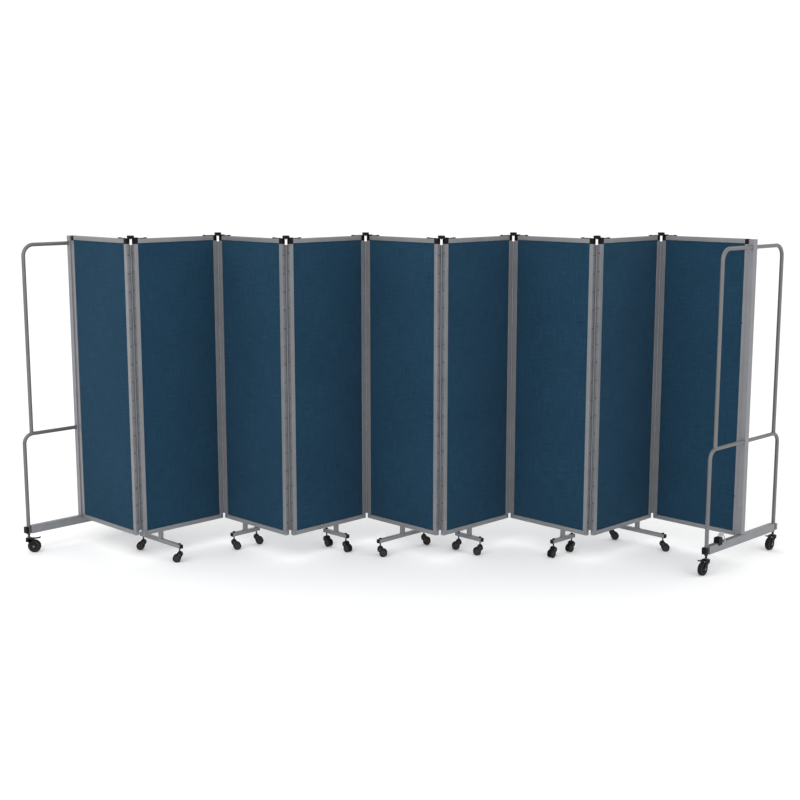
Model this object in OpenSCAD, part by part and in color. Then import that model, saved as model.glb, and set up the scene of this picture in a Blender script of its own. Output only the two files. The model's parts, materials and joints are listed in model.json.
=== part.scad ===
// Mobile accordion partition wall: nine fabric panels in aluminium frames, joined by
// eight full-length hinges, on T-legs with casters, with a wheeled frame at each end.
// Millimetres, +Z up. The origin lies on the floor under the middle of the fifth panel.
// In a panel's own frame +X runs along the panel to the right and -Y faces the front.

/* [Panels] */
// Length of one panel over its stiles
panel_length = 566; // [480:1:680]
// Thickness of a panel frame
panel_thickness = 24; // [20:1:29]
// Height of the panel tops above the floor
frame_top = 1829; // [1500:1:2200]
// Height of the panel bottoms above the floor
frame_bottom = 146; // [135:1:180]
// Width of a stile's face
stile_width = 25; // [20:1:34]
// Height of a rail's face
rail_height = 25; // [20:1:34]
// Height of a corner block
corner_height = 28; // [25:1:36]
// Wall of the frame's tubes
frame_wall = 1.6; // [1.2:0.1:2.4]
// Thickness of the fabric-covered board
board_thickness = 18; // [12:1:20]

/* [Fold] */
// Angle between neighbouring panels as modelled
fold_angle = 90; // [60:1:120]
// Gap between two panel ends when the wall is straight
hinge_gap = 13; // [12:0.5:16]
// Distance of a hinge pin outside the panel's face
pin_offset = 1; // [0.5:0.5:3]

/* [Hinges] */
// Outer diameter of the hinge barrel
barrel_d = 8; // [7:0.5:9]
// Diameter of the hinge pin
hinge_pin_d = 4; // [3:0.5:5]
// Thickness of a hinge leaf
leaf_t = 2; // [1.5:0.5:2]
// Number of knuckles along a hinge
knuckle_count = 16; // [8:2:24]
// Distance from the panel top down to the hinge
hinge_top_drop = 34; // [28:1:60]
// Distance from the panel bottom up to the hinge
hinge_bottom_rise = 30; // [26:1:60]
// Gap between two knuckles
knuckle_gap = 0.4; // [0.3:0.1:1]

/* [Top pivots] */
// Thickness of the straps over the top rails
strap_t = 3; // [2:0.5:4]
// Width of a strap
strap_w = 18; // [12:1:20]
// Reach of a strap from the panel's end
strap_reach = 80; // [50:1:110]
// Diameter of the round cap over a hinge
cap_d = 40; // [32:1:42]
// Height of the round cap
cap_h = 11; // [8:1:16]
// Diameter of the pivot pin under the cap
pivot_d = 8; // [6:0.5:9]

/* [T-legs] */
// Width of the square leg tube
leg_tube = 22; // [20:1:24]
// Height of the leg tube's underside
leg_bottom = 82; // [80:1:90]
// Stem distance from the panel plane on a long leg
long_reach = 181; // [150:1:200]
// Stem distance from the panel plane on a short leg
short_reach = 84; // [75:1:95]
// Length of tube past the stem, with its cap
leg_overhang = 19; // [16:1:26]
// Distance between neighbouring legs when the wall is folded
leg_step = 53; // [50:1:60]

/* [Small casters] */
// Diameter of a T-leg caster wheel
small_wheel_d = 46; // [40:1:50]
// Width of each wheel of a pair
small_wheel_w = 9; // [7:0.5:10]
// Distance the axle trails the stem
small_trail = 17; // [14:1:20]
// Diameter of the stem
small_stem_d = 8; // [6:0.5:8]
// Height of the top of the swivel head
small_head_top = 62; // [56:1:66]

/* [End frames] */
// Width of the post along the wall
post_w = 33; // [28:1:40]
// Depth of the post
post_depth = 38; // [34:1:44]
// Gap between a panel end and its post
post_gap = 3; // [2:0.5:5]
// Distance from a panel end to the plane of the loops
loop_plane = 23; // [23:0.5:26]
// Outer diameter of the loop tube
loop_d = 22; // [19:1:22]
// Wall of the loop tube
loop_wall = 1.6; // [1.2:0.1:2.4]
// Half spacing of the lower loop's legs
lower_loop_half = 358; // [330:1:420]
// Half spacing of the upper loop's legs
upper_loop_half = 310; // [270:1:330]
// Height of the lower loop's bar
lower_bar_z = 698; // [500:1:900]
// Height of the upper loop's bar
upper_bar_z = 1785; // [1450:1:2150]
// Bend radius of the lower loop
lower_bend = 55; // [40:1:60]
// Bend radius of the upper loop
upper_bend = 65; // [45:1:90]
// Width of the base tube
base_w = 32; // [28:1:32]
// Height of the base tube
base_h = 47; // [40:1:50]
// Height of the base's underside
base_bottom = 111; // [104:1:118]
// Length of the end bumper past the loop's leg
bumper_l = 12; // [8:1:20]

/* [Large casters] */
// Diameter of an end caster wheel
big_wheel_d = 75; // [70:1:76]
// Width of its tread
big_wheel_w = 24; // [20:1:26]
// Distance the axle trails the stem
big_trail = 30; // [26:1:34]
// Diameter of the stem
big_stem_d = 12; // [10:1:14]
// Height of the fork crown's top
crown_top = 86; // [84:1:92]
// Diameter of the axle bolt
axle_d = 8; // [6:1:10]
// Length of the brake pedal from its pivot
pedal_l = 42; // [36:1:46]

/* [Latch] */
// Distance of the latch block from the post's centre
latch_at = 245; // [243:1:280]
// Distance of the tab's stem outside the loops' plane
latch_out = 6; // [4:1:10]
// Length of the latch block along the base
latch_block_l = 40; // [30:1:50]
// Height of the latch block
latch_block_h = 31; // [24:1:40]
// Diameter of the latch's round tab
latch_tab_d = 36; // [28:1:38]

/* [Hidden] */
$fn = 48;
panel_count = 9;
sides = ["front", "rear"];
ends = ["left", "right"];
// Places of the T-legs on panels 2 to 8, in steps from the panel's middle to its front fold
leg_places = [3, -2, -1, 0, 1, 2, -3];
// Whether each of those legs is a long one
leg_is_long = [true, false, false, true, false, false, true];
// Direction in which each T-leg's casters trail, from +X
leg_headings = [180, 15, -45, 0, 180, 225, 0];
// The same for the end frames: left front, left rear, right front, right rear
end_headings = [[0, 45], [225, 225]];

running = 0.05;   // radial clearance of a pin in its bore
air = 0.5;        // clearance between parts that pass each other
seam = 0.2;       // joint line between two pieces that are fixed together
nut_h = 6;
web_w = 12;       // width of a small caster's body between its wheels
small_axle_d = 5;
stem_grip = 12;   // depth of a small caster's stem in its head
brake_pin_d = 4;
brake_travel = 8; // degrees that the pedal turns
fork_w = 22;      // width of a large caster's fork arm
crown_l = 32;     // length of its crown
eye_gap = 0.4;    // clearance of one strap's eye over the other

tilt = 90 - fold_angle / 2;
pin_y = panel_thickness / 2 + pin_offset;
pin_x = (panel_length + hinge_gap) / 2;
pitch = 2 * (pin_x * cos(tilt) + pin_y * sin(tilt));
hinge_low = frame_bottom + hinge_bottom_rise;
hinge_high = frame_top - hinge_top_drop;
knuckle_h = (hinge_high - hinge_low) / knuckle_count;
end_x = panel_length / 2;
base_top = base_bottom + base_h;
pedal_x = 25;
pedal_z = crown_top - 5;
fork_in = big_wheel_w / 2 + 2;
fork_t = 3;

leg_nodes = [for (i = [2:panel_count - 1]) for (s = sides) str(i, "_", s)];
end_nodes = [for (e = ends) for (s = sides) str(e, "_", s)];

silver = [0.56, 0.57, 0.58];
tube_grey = [0.5, 0.5, 0.51];
black = [0.05, 0.05, 0.055];
navy = [0.12, 0.22, 0.34];

function is_odd(i) = i % 2 == 1;
function panel_turn(i) = is_odd(i) ? -tilt : tilt;
function panel_x(i) = (i - (panel_count + 1) / 2) * pitch;
// Side of the hinge pin at a panel's right (+1) or left (-1) end: +1 back, -1 front
function pin_side(i, right) = is_odd(i) ? right : -right;
function leg_x(i) = (is_odd(i) ? 1 : -1) * leg_places[i - 2] * leg_step;
function leg_reach(i) = leg_is_long[i - 2] ? long_reach : short_reach;

module at_panel(i) {
    translate([panel_x(i), 0, 0]) rotate([0, 0, panel_turn(i)]) children();
}

// A block centred on X and Y, standing on z
module block(size, z = 0) {
    translate([-size[0] / 2, -size[1] / 2, z]) cube(size);
}

// A rod along +Z from z, of diameter d
module rod(d, h, z = 0) {
    translate([0, 0, z]) cylinder(d = d, h = h);
}

// A rod centred on the origin along Y
module cross_rod(d, w) {
    rotate([90, 0, 0]) cylinder(d = d, h = w, center = true);
}

// ---------------------------------------------------------------- panels

module stile() {
    color(silver) difference() {
        block([stile_width, panel_thickness,
               frame_top - frame_bottom - 2 * corner_height - 2 * seam],
              frame_bottom + corner_height + seam);
        block([stile_width - 2 * frame_wall, panel_thickness - 2 * frame_wall,
               frame_top - frame_bottom], frame_bottom);
    }
}

module rail(z) {
    length = panel_length - 2 * stile_width - 2 * seam;
    color(silver) difference() {
        block([length, panel_thickness, rail_height], z);
        block([length + 2, panel_thickness - 2 * frame_wall, rail_height - 2 * frame_wall],
              z + frame_wall);
    }
}

module corner_blocks() {
    for (side = [-1, 1]) translate([side * (end_x - stile_width / 2), 0, 0]) {
        color(black) block([stile_width, panel_thickness, corner_height],
                           frame_top - corner_height);
        color(silver) block([stile_width, panel_thickness, corner_height], frame_bottom);
    }
}

// Every second knuckle of a hinge, from the first or the second one up
module knuckles(first) {
    for (k = [first:2:knuckle_count - 1])
        translate([0, 0, hinge_low + k * knuckle_h + knuckle_gap / 2]) children();
}

// Leaf screwed to a panel's end, in a frame whose origin is the pin and whose +X points
// away from the panel, +Y away from the panel's own side
module hinge_leaf(first) {
    height = knuckle_h - knuckle_gap;
    wall_x = -hinge_gap / 2;
    color(silver) difference() {
        union() {
            translate([wall_x + seam, -panel_thickness - pin_offset, hinge_low])
                cube([leaf_t, panel_thickness + pin_offset - seam, hinge_high - hinge_low]);
            knuckles(first) {
                cylinder(d = barrel_d, h = height);
                translate([wall_x + seam, -leaf_t, 0])
                    cube([-wall_x - seam, leaf_t, height]);
            }
        }
        rod(hinge_pin_d + 2 * running, hinge_high - hinge_low + 2, hinge_low - 1);
    }
}

// Black strap on the top rail with an eye round the pivot, in the same frame
module top_strap(level) {
    low = frame_top + seam;
    z = low + level * (strap_t + eye_gap);
    rail_y = -pin_y;
    start_x = -hinge_gap / 2 - strap_reach;
    eye_d = cap_d - 4;
    eye_room = eye_d + 2 * air;
    color(black) difference() {
        union() {
            rod(eye_d, strap_t, z);
            translate([start_x, rail_y - strap_w / 2, low])
                cube([strap_reach, strap_w, strap_t]);
            translate([start_x, rail_y, 0]) rod(strap_w + 4, strap_t + 2, low);
            translate([-eye_d, rail_y - strap_w / 2, low])
                cube([eye_d / 2, strap_w, z + strap_t - low]);
            translate([-eye_d, rail_y, z]) cube([eye_d, pin_y, strap_t]);
        }
        rod(pivot_d + 2 * running, strap_t + 4, z - 2);
        if (level == 1) rod(eye_room, strap_t + eye_gap + 1, low - 1);
    }
}

// Round cap with the pivot pin that hangs through both eyes
module pivot_cap() {
    z = frame_top + 2 * strap_t + eye_gap + 2 * seam;
    color(black) union() {
        rod(cap_d - 4, 1, z);
        rod(cap_d, cap_h - 2, z + 1);
        translate([0, 0, z + cap_h - 1]) cylinder(d1 = cap_d, d2 = cap_d - 3, h = 1);
        rod(pivot_d, 2 * strap_t + 4.5, z - 2 * strap_t - 4);
    }
}

// The half of a hinge that a panel carries at its right (+1) or left (-1) end.
// The panel on the left of a hinge holds the pins and the cap.
module hinge_half(i, right) {
    holds_pin = right == 1;
    translate([right * pin_x, pin_side(i, right) * pin_y, 0])
        mirror([right == 1 ? 0 : 1, 0, 0])
            mirror([0, pin_side(i, right) == 1 ? 0 : 1, 0]) {
                hinge_leaf(holds_pin ? 0 : 1);
                top_strap(holds_pin ? 0 : 1);
                if (holds_pin)
                    color(silver) rod(hinge_pin_d, hinge_high - hinge_low, hinge_low);
                else
                    pivot_cap();
            }
}

module t_leg(i) {
    reach = leg_reach(i);
    cap_t = 5;
    half = reach + leg_overhang - cap_t;
    inner = leg_tube - 2 * frame_wall;
    leg_top = leg_bottom + leg_tube;
    translate([leg_x(i), 0, 0]) {
        color(silver) difference() {
            block([leg_tube, leg_tube, frame_bottom - leg_top - 2 * seam],
                  leg_top + seam);
            block([inner, inner, frame_bottom], leg_top - 1);
        }
        color(silver) difference() {
            block([leg_tube, 2 * half, leg_tube], leg_bottom);
            block([inner, 2 * half + 2, inner], leg_bottom + frame_wall);
            for (side = [-1, 1]) translate([0, side * reach, 0])
                rod(small_stem_d + 2 * running, leg_tube + 2, leg_bottom - 1);
        }
        color(black) for (side = [-1, 1]) {
            translate([0, side * (half + cap_t / 2 + seam), 0])
                block([leg_tube, cap_t, leg_tube], leg_bottom);
            translate([0, side * reach, 0]) {
                rod(small_stem_d, leg_top + nut_h - small_head_top + stem_grip,
                    small_head_top - stem_grip);
                difference() {
                    rod(16, nut_h, leg_top + seam);
                    rod(small_stem_d + 2 * running, nut_h + 2, leg_top);
                }
            }
        }
    }
}

module panel_frame(i) {
    at_panel(i) {
        for (side = [-1, 1])
            translate([side * (end_x - stile_width / 2), 0, 0]) stile();
        rail(frame_bottom);
        rail(frame_top - rail_height);
        corner_blocks();
        if (i > 1) hinge_half(i, -1);
        if (i < panel_count) hinge_half(i, 1);
        if (i > 1 && i < panel_count) t_leg(i);
    }
}

// Fabric-covered board between the stiles and rails
module panel_board(i) {
    length = panel_length - 2 * stile_width - 2 * seam;
    height = frame_top - frame_bottom - 2 * rail_height - 2 * seam;
    at_panel(i) color(navy)
        block([length, board_thickness, height], frame_bottom + rail_height + seam);
}

// ---------------------------------------------------------------- end frames

// Half of a loop: a leg, a bend and a bar that ends at the post. +Y is outwards.
module half_loop(d, half, foot, bar_z, bend, bar_end) {
    translate([0, half, 0]) rod(d, bar_z - bend - foot, foot);
    translate([0, half - bend, bar_z - bend]) rotate([90, 0, 90])
        rotate_extrude(angle = 90) translate([bend, 0]) circle(d = d);
    translate([0, half - bend, bar_z]) rotate([90, 0, 0])
        cylinder(d = d, h = half - bend - bar_end);
}

module lower_half_loop() {
    color(tube_grey) difference() {
        half_loop(loop_d, lower_loop_half, base_bottom, lower_bar_z, lower_bend,
                  post_depth / 2 + seam);
        half_loop(loop_d - 2 * loop_wall, lower_loop_half, base_top, lower_bar_z,
                  lower_bend, post_depth / 2 - 1);
        translate([0, lower_loop_half, 0])
            rod(big_stem_d + 2 * running, base_h / 2 + 1 + seam, base_bottom - 1);
    }
}

module upper_half_loop() {
    color(tube_grey) difference() {
        half_loop(loop_d, upper_loop_half, lower_bar_z, upper_bar_z, upper_bend,
                  post_depth / 2 + seam);
        half_loop(loop_d - 2 * loop_wall, upper_loop_half, lower_bar_z - 1, upper_bar_z,
                  upper_bend, post_depth / 2 - 1);
        half_loop(loop_d + 2 * seam, lower_loop_half, base_bottom, lower_bar_z,
                  lower_bend, post_depth / 2);
    }
}

module post() {
    height = frame_top - 1 - base_top - seam;
    center_x = post_gap + post_w / 2;
    color(silver) union() {
        difference() {
            translate([center_x, 0, 0])
                block([post_w, post_depth, height], base_top + seam);
            translate([center_x, 0, 0])
                block([post_w - 2 * frame_wall, post_depth - 2 * frame_wall, height - 3],
                      base_top);
        }
        translate([post_gap / 2, 0, 0])
            block([post_gap, panel_thickness, frame_top - 1 - hinge_low], hinge_low);
    }
}

module base_tube() {
    half = lower_loop_half - loop_d / 2 - seam;
    color(silver) translate([loop_plane, 0, 0]) difference() {
        block([base_w, 2 * half, base_h], base_bottom);
        block([base_w - 2 * frame_wall, 2 * half + 2, base_h - 2 * frame_wall],
              base_bottom + frame_wall);
    }
}

// Black bumper round the outer half of a loop's foot
module bumper() {
    inner = lower_loop_half - loop_d / 2;
    outer = lower_loop_half + loop_d / 2 + bumper_l;
    color(black) difference() {
        translate([-base_w / 2, inner, base_bottom])
            cube([base_w, outer - inner, base_h]);
        translate([0, lower_loop_half, 0])
            rod(loop_d + 2 * seam, base_h + 2, base_bottom - 1);
        translate([-base_w / 2 - 1, inner - 1, base_bottom - 1])
            cube([base_w / 2 + 1, lower_loop_half - inner + 1, base_h + 2]);
    }
}

// Black stop block on the base, which the folded stack rests against, and the grey round
// tab on a bowed stem beside it
module latch() {
    stem_d = 7;
    bow = 42;
    room = bow + stem_d;
    tab_y = latch_at - latch_block_l / 2 - 3;
    color(black) translate([0, latch_at, 0])
        block([base_w - 2, latch_block_l, latch_block_h], base_top + seam);
    color(tube_grey) translate([latch_out, tab_y, 0]) union() {
        difference() {
            translate([0, 0, base_top]) rotate([90, 0, 90])
                rotate_extrude() translate([bow, 0]) circle(d = stem_d);
            translate([-stem_d, -room, base_top + seam - room])
                cube([2 * stem_d, 2 * room, room]);
            translate([-stem_d, 0, base_top - 1]) cube([2 * stem_d, room, room + 2]);
        }
        translate([0, 0, base_top + bow]) rotate([-35, 0, 0])
            translate([0, 0, -1]) rod(latch_tab_d, 3.5);
    }
}

// An end frame in the frame of the last panel, shifted so that X = 0 is its outer end
module end_frame_body(with_latch) {
    post();
    base_tube();
    translate([loop_plane, 0, 0]) {
        for (side = [0, 1]) mirror([0, side, 0]) {
            lower_half_loop();
            upper_half_loop();
            bumper();
            color(black) translate([0, lower_loop_half, 0])
                rod(big_stem_d, base_bottom + base_h / 2 - crown_top + 8, crown_top - 8);
        }
        if (with_latch) mirror([0, 1, 0]) latch();
    }
}

module at_end(e) {
    if (e == "right")
        at_panel(panel_count) translate([end_x, 0, 0]) children();
    else
        rotate([0, 0, 180]) at_panel(panel_count) translate([end_x, 0, 0]) children();
}

module end_frame(e) {
    at_end(e) end_frame_body(e == "right");
}

// ---------------------------------------------------------------- casters
// A caster's own frame has the stem on Z and the wheel trailing along +X.

module small_swivel() {
    head_d = 34;
    boss_d = 17;
    neck_w = 13;
    pocket_w = small_wheel_w + 2;
    axle_z = small_wheel_d / 2;
    head_z = small_head_top - head_d / 2;
    lean = atan2(head_z - axle_z, -small_trail);
    span = norm([head_z - axle_z, small_trail]);
    color(black) difference() {
        union() {
            difference() {
                translate([0, 0, head_z]) cross_rod(head_d, web_w + 2 * small_wheel_w);
                for (side = [-1, 1])
                    translate([small_trail, side * (web_w + pocket_w) / 2, axle_z])
                        cross_rod(small_wheel_d + 2 * air + 1, pocket_w);
            }
            translate([small_trail, 0, axle_z]) {
                cross_rod(boss_d, web_w);
                rotate([0, -lean, 0]) translate([0, 1 / 2 - web_w / 2, -neck_w / 2])
                    cube([span, web_w - 1, neck_w]);
            }
        }
        rod(small_stem_d + 2 * running, stem_grip + 2, small_head_top - stem_grip - air);
        translate([small_trail, 0, axle_z])
            cross_rod(small_axle_d + 2 * running, web_w + 2);
    }
}

module small_wheels() {
    rim = 6;
    color(black) translate([small_trail, 0, small_wheel_d / 2]) union() {
        cross_rod(small_axle_d, web_w + 2 * air + 1);
        for (side = [-1, 1])
            translate([0, side * (web_w / 2 + air + small_wheel_w / 2), 0]) difference() {
                cross_rod(small_wheel_d, small_wheel_w);
                translate([0, side * small_wheel_w / 2, 0])
                    cross_rod(small_wheel_d - 2 * rim, 3);
            }
    }
}

module fork_plate() {
    axle_z = big_wheel_d / 2;
    knee_x = 6;
    knee_z = crown_top - crown_l / 2;
    lean = atan2(knee_z - axle_z, knee_x - big_trail);
    span = norm([knee_z - axle_z, big_trail - knee_x]);
    translate([-crown_l / 2, 0, crown_top - fork_w]) cube([crown_l, fork_t, fork_w]);
    translate([big_trail, 0, axle_z]) {
        translate([0, fork_t / 2, 0]) cross_rod(fork_w, fork_t);
        rotate([0, -lean, 0]) translate([0, 0, -fork_w / 2]) cube([span, fork_t, fork_w]);
    }
    translate([pedal_x, fork_t / 2, pedal_z]) cross_rod(10, fork_t);
    translate([pedal_x - 8, 0, pedal_z - 14]) cube([13, fork_t, 14]);
}

module big_swivel() {
    width = 2 * (fork_in + fork_t);
    color(black) difference() {
        union() {
            rod(38, 6, crown_top - 6);
            translate([-crown_l / 2, -width / 2, crown_top - 6]) cube([crown_l - 4, width, 6]);
            translate([0, fork_in, 0]) fork_plate();
            translate([0, -fork_in - fork_t, 0]) fork_plate();
            translate([big_trail, 0, big_wheel_d / 2]) {
                cross_rod(axle_d, width + 8);
                for (side = [-1, 1]) translate([0, side * (width / 2 + 2), 0])
                    cross_rod(14, 4);
            }
        }
        rod(big_stem_d + 2 * running, 30, crown_top - 8 - air);
        translate([big_trail, 0, big_wheel_d / 2]) difference() {
            cross_rod(big_wheel_d + 4, 2 * fork_in);
            cross_rod(axle_d, 2 * fork_in + 2);
        }
        translate([pedal_x, 0, pedal_z]) cross_rod(brake_pin_d + 2 * running, width + 2);
    }
}

module big_wheel() {
    hub_w = 2 * fork_in - 2 * air;
    color(black) translate([big_trail, 0, big_wheel_d / 2]) difference() {
        union() {
            cross_rod(big_wheel_d, big_wheel_w);
            cross_rod(24, hub_w);
        }
        cross_rod(axle_d + 2 * running, hub_w + 2);
        for (side = [-1, 1]) translate([0, side * big_wheel_w / 2, 0]) difference() {
            cross_rod(big_wheel_d - 18, 8);
            cross_rod(24, 10);
        }
    }
}

module brake_pedal() {
    barrel_w = 2 * fork_in - 2 * air;
    plate_w = barrel_w - 2;
    lip = 5;
    color(black) translate([pedal_x, 0, pedal_z]) union() {
        cross_rod(brake_pin_d, 2 * (fork_in + fork_t));
        cross_rod(8, barrel_w);
        rotate([0, -brake_travel, 0]) {
            translate([0, -plate_w / 2, -1]) cube([pedal_l, plate_w, 4]);
            translate([pedal_l - lip, -plate_w / 2, 1]) cube([lip, plate_w, lip]);
        }
    }
}

module at_leg_caster(i, s) {
    side = s == "front" ? -1 : 1;
    turn = panel_turn(i);
    translate([panel_x(i), 0, 0]) rotate([0, 0, turn])
        translate([leg_x(i), side * leg_reach(i), 0])
            rotate([0, 0, leg_headings[i - 2] - turn]) children();
}

// On the left the end frame is turned half round, so its front and rear change places
module at_end_caster(e, s) {
    k = e == "left" ? 0 : 1;
    j = s == "front" ? 0 : 1;
    side = (k == j) ? 1 : -1;
    turn = panel_turn(panel_count) + (e == "left" ? 180 : 0);
    at_end(e) translate([loop_plane, side * lower_loop_half, 0])
        rotate([0, 0, end_headings[k][j] - turn]) children();
}

// ---------------------------------------------------------------- nodes

for (i = [1:panel_count]) {
    panel_frame(i);
    panel_board(i);
}
for (e = ends) {
    end_frame(e);
    for (s = sides) {
        at_end_caster(e, s) big_swivel();
        at_end_caster(e, s) big_wheel();
        at_end_caster(e, s) brake_pedal();
    }
}
for (i = [2:panel_count - 1]) for (s = sides) {
    at_leg_caster(i, s) small_swivel();
    at_leg_caster(i, s) small_wheels();
}
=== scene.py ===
"""The visual model of a folding partition wall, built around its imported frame.

Nine fabric boards in satin frames stand in a zigzag on T-legs with twin-wheel casters, and
a wheeled loop frame closes the wall at each end. All lengths are in metres.
"""

import json
import logging
import math
from dataclasses import dataclass, field
from enum import Enum

import bmesh
import bpy
from mathutils import Matrix, Vector

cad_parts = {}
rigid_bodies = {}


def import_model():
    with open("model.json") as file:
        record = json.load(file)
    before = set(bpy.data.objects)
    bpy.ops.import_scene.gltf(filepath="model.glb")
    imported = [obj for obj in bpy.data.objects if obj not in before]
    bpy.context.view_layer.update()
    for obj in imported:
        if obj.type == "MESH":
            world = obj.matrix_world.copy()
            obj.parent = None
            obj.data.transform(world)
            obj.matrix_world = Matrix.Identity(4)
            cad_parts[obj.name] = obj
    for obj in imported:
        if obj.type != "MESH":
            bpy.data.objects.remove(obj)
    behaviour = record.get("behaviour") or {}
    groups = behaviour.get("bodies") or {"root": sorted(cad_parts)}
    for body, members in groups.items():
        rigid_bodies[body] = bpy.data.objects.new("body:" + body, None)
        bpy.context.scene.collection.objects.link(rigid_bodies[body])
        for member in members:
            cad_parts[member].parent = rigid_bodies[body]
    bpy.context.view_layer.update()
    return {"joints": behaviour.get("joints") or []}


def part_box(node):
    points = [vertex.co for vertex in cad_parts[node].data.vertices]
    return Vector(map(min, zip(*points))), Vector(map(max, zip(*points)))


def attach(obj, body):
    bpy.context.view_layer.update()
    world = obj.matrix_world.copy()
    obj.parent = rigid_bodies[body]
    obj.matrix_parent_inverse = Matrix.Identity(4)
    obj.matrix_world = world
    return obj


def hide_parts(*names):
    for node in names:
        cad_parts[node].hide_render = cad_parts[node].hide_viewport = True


LOG = logging.getLogger("partition_wall")
MM = 0.001
SEAM = 0.2 * MM
PANEL_COUNT = 9
PANEL_TURN = math.radians(45.0)
SHARP_ANGLE = math.radians(42.0)
LEVEL_TOLERANCE = 1e-7
MERGE_DISTANCE = 1e-6
WHITE = (1.0, 1.0, 1.0, 1.0)
DUSTY_HEIGHT = 0.12
DUST_COLOUR = (0.46, 0.45, 0.43, 1.0)
X_AXIS = Vector((1.0, 0.0, 0.0))
Y_AXIS = Vector((0.0, 1.0, 0.0))
Z_AXIS = Vector((0.0, 0.0, 1.0))
UNMOVED = Matrix.Identity(4)
ACROSS = Matrix.Rotation(math.pi / 2, 4, "X")
MIRRORED = Matrix.Scale(-1.0, 4, Y_AXIS)
Outline = list[tuple[float, float]]
Colour = tuple[float, float, float, float]

# The radius and the height of each kind of screw head.
CORNER_SCREW = (3 * MM, 1.2 * MM)
STILE_SCREW = (3.6 * MM, 1.6 * MM)
STRAP_SCREW = (3.6 * MM, 1.6 * MM)
LEAF_SCREW = (4.2 * MM, 1.7 * MM)
POST_SCREW = (3.4 * MM, 0.9 * MM)


class Slot(Enum):
    """The material slots of the record."""

    FRAME = "frame_aluminium"
    TUBE = "tube_aluminium"
    FABRIC = "board_fabric"
    CASTER = "caster_plastic"
    TREAD = "wheel_tread"
    TRIM = "trim_plastic"


class Side(Enum):
    """The two long sides of the wall, with the sign of their Y in a panel's own frame."""

    FRONT = -1
    REAR = 1

    @property
    def word(self) -> str:
        """The side's name in node names."""
        return self.name.lower()


class End(Enum):
    """The two ends of the wall, with the panel that carries each end frame."""

    LEFT = 1
    RIGHT = 9

    @property
    def word(self) -> str:
        """The end's name in node names."""
        return self.name.lower()


# ---------------------------------------------------------------- shells


def block(size: tuple[float, float, float], centre: tuple[float, float, float],
          bevel: float = 0.0, segments: int = 2) -> bmesh.types.BMesh:
    """Makes a block with rounded edges.

    Args:
        size: Its length along each axis.
        centre: Where its middle lies.
        bevel: The width of its rounded edges.
        segments: How many faces round an edge.

    Returns:
        The closed shell.
    """
    shell = bmesh.new()
    bmesh.ops.create_cube(shell, size=1.0)
    bmesh.ops.scale(shell, vec=size, verts=shell.verts)
    if bevel:
        round_edges(shell, list(shell.edges), bevel, segments)
    bmesh.ops.translate(shell, vec=centre, verts=shell.verts)
    return shell


def round_edges(shell: bmesh.types.BMesh, edges: list[bmesh.types.BMEdge], width: float,
                segments: int) -> None:
    """Rounds some edges of a shell.

    Args:
        shell: The shell to change.
        edges: Its edges to round.
        width: The width of the rounding.
        segments: How many faces round an edge.
    """
    bmesh.ops.bevel(shell, geom=edges, offset=width, offset_type="OFFSET", segments=segments,
                    profile=0.5, affect="EDGES", clamp_overlap=True, material=-1)


def level_edges(shell: bmesh.types.BMesh) -> list[bmesh.types.BMEdge]:
    """Lists the edges of a shell that lie square to Z, which are those of its flat ends."""
    return [e for e in shell.edges if abs(e.verts[0].co.z - e.verts[1].co.z) < LEVEL_TOLERANCE]


def verts_of(geometry: list) -> list[bmesh.types.BMVert]:
    """Picks the vertices out of what an operator gives back."""
    return [g for g in geometry if isinstance(g, bmesh.types.BMVert)]


def rod(radius: float, low: float, high: float, bevel: float = 0.0,
        sides: int = 32) -> bmesh.types.BMesh:
    """Makes a rod along Z with rounded rims.

    Args:
        radius: Its radius.
        low: The height of its lower end.
        high: The height of its upper end.
        bevel: The width of its rounded rims.
        sides: How many faces go round it.

    Returns:
        The closed shell.
    """
    shell = bmesh.new()
    bmesh.ops.create_cone(shell, cap_ends=True, segments=sides, radius1=radius,
                          radius2=radius, depth=high - low)
    if bevel:
        round_edges(shell, level_edges(shell), bevel, 2)
    bmesh.ops.translate(shell, vec=(0.0, 0.0, (low + high) / 2), verts=shell.verts)
    return shell


def turned(outline: Outline, sides: int = 48) -> bmesh.types.BMesh:
    """Turns an outline round Z, as on a lathe.

    Args:
        outline: Points of radius and height. An outline that starts and ends on the axis
            makes a solid shape, and any other one a ring.
        sides: How many steps the turn has.

    Returns:
        The closed shell.
    """
    shell = bmesh.new()
    verts = [shell.verts.new((radius, 0.0, height)) for radius, height in outline]
    edges = [shell.edges.new(pair) for pair in zip(verts, verts[1:])]
    if outline[0][0] > 0.0:
        edges.append(shell.edges.new((verts[-1], verts[0])))
    bmesh.ops.spin(shell, geom=verts + edges, axis=Z_AXIS, cent=(0.0, 0.0, 0.0),
                   angle=math.tau, steps=sides, use_merge=True)
    bmesh.ops.remove_doubles(shell, verts=shell.verts, dist=MERGE_DISTANCE)
    return shell


def arc(centre: tuple[float, float], radius: float, start: float, end: float,
        steps: int) -> Outline:
    """Lists points along an arc.

    Args:
        centre: The arc's centre.
        radius: Its radius.
        start: The angle of its first point, in degrees.
        end: The angle of its last point, in degrees.
        steps: How many stretches it has.

    Returns:
        The points, both ends included.
    """
    angles = [math.radians(start + (end - start) * k / steps) for k in range(steps + 1)]
    return [(centre[0] + radius * math.cos(a), centre[1] + radius * math.sin(a))
            for a in angles]


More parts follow.
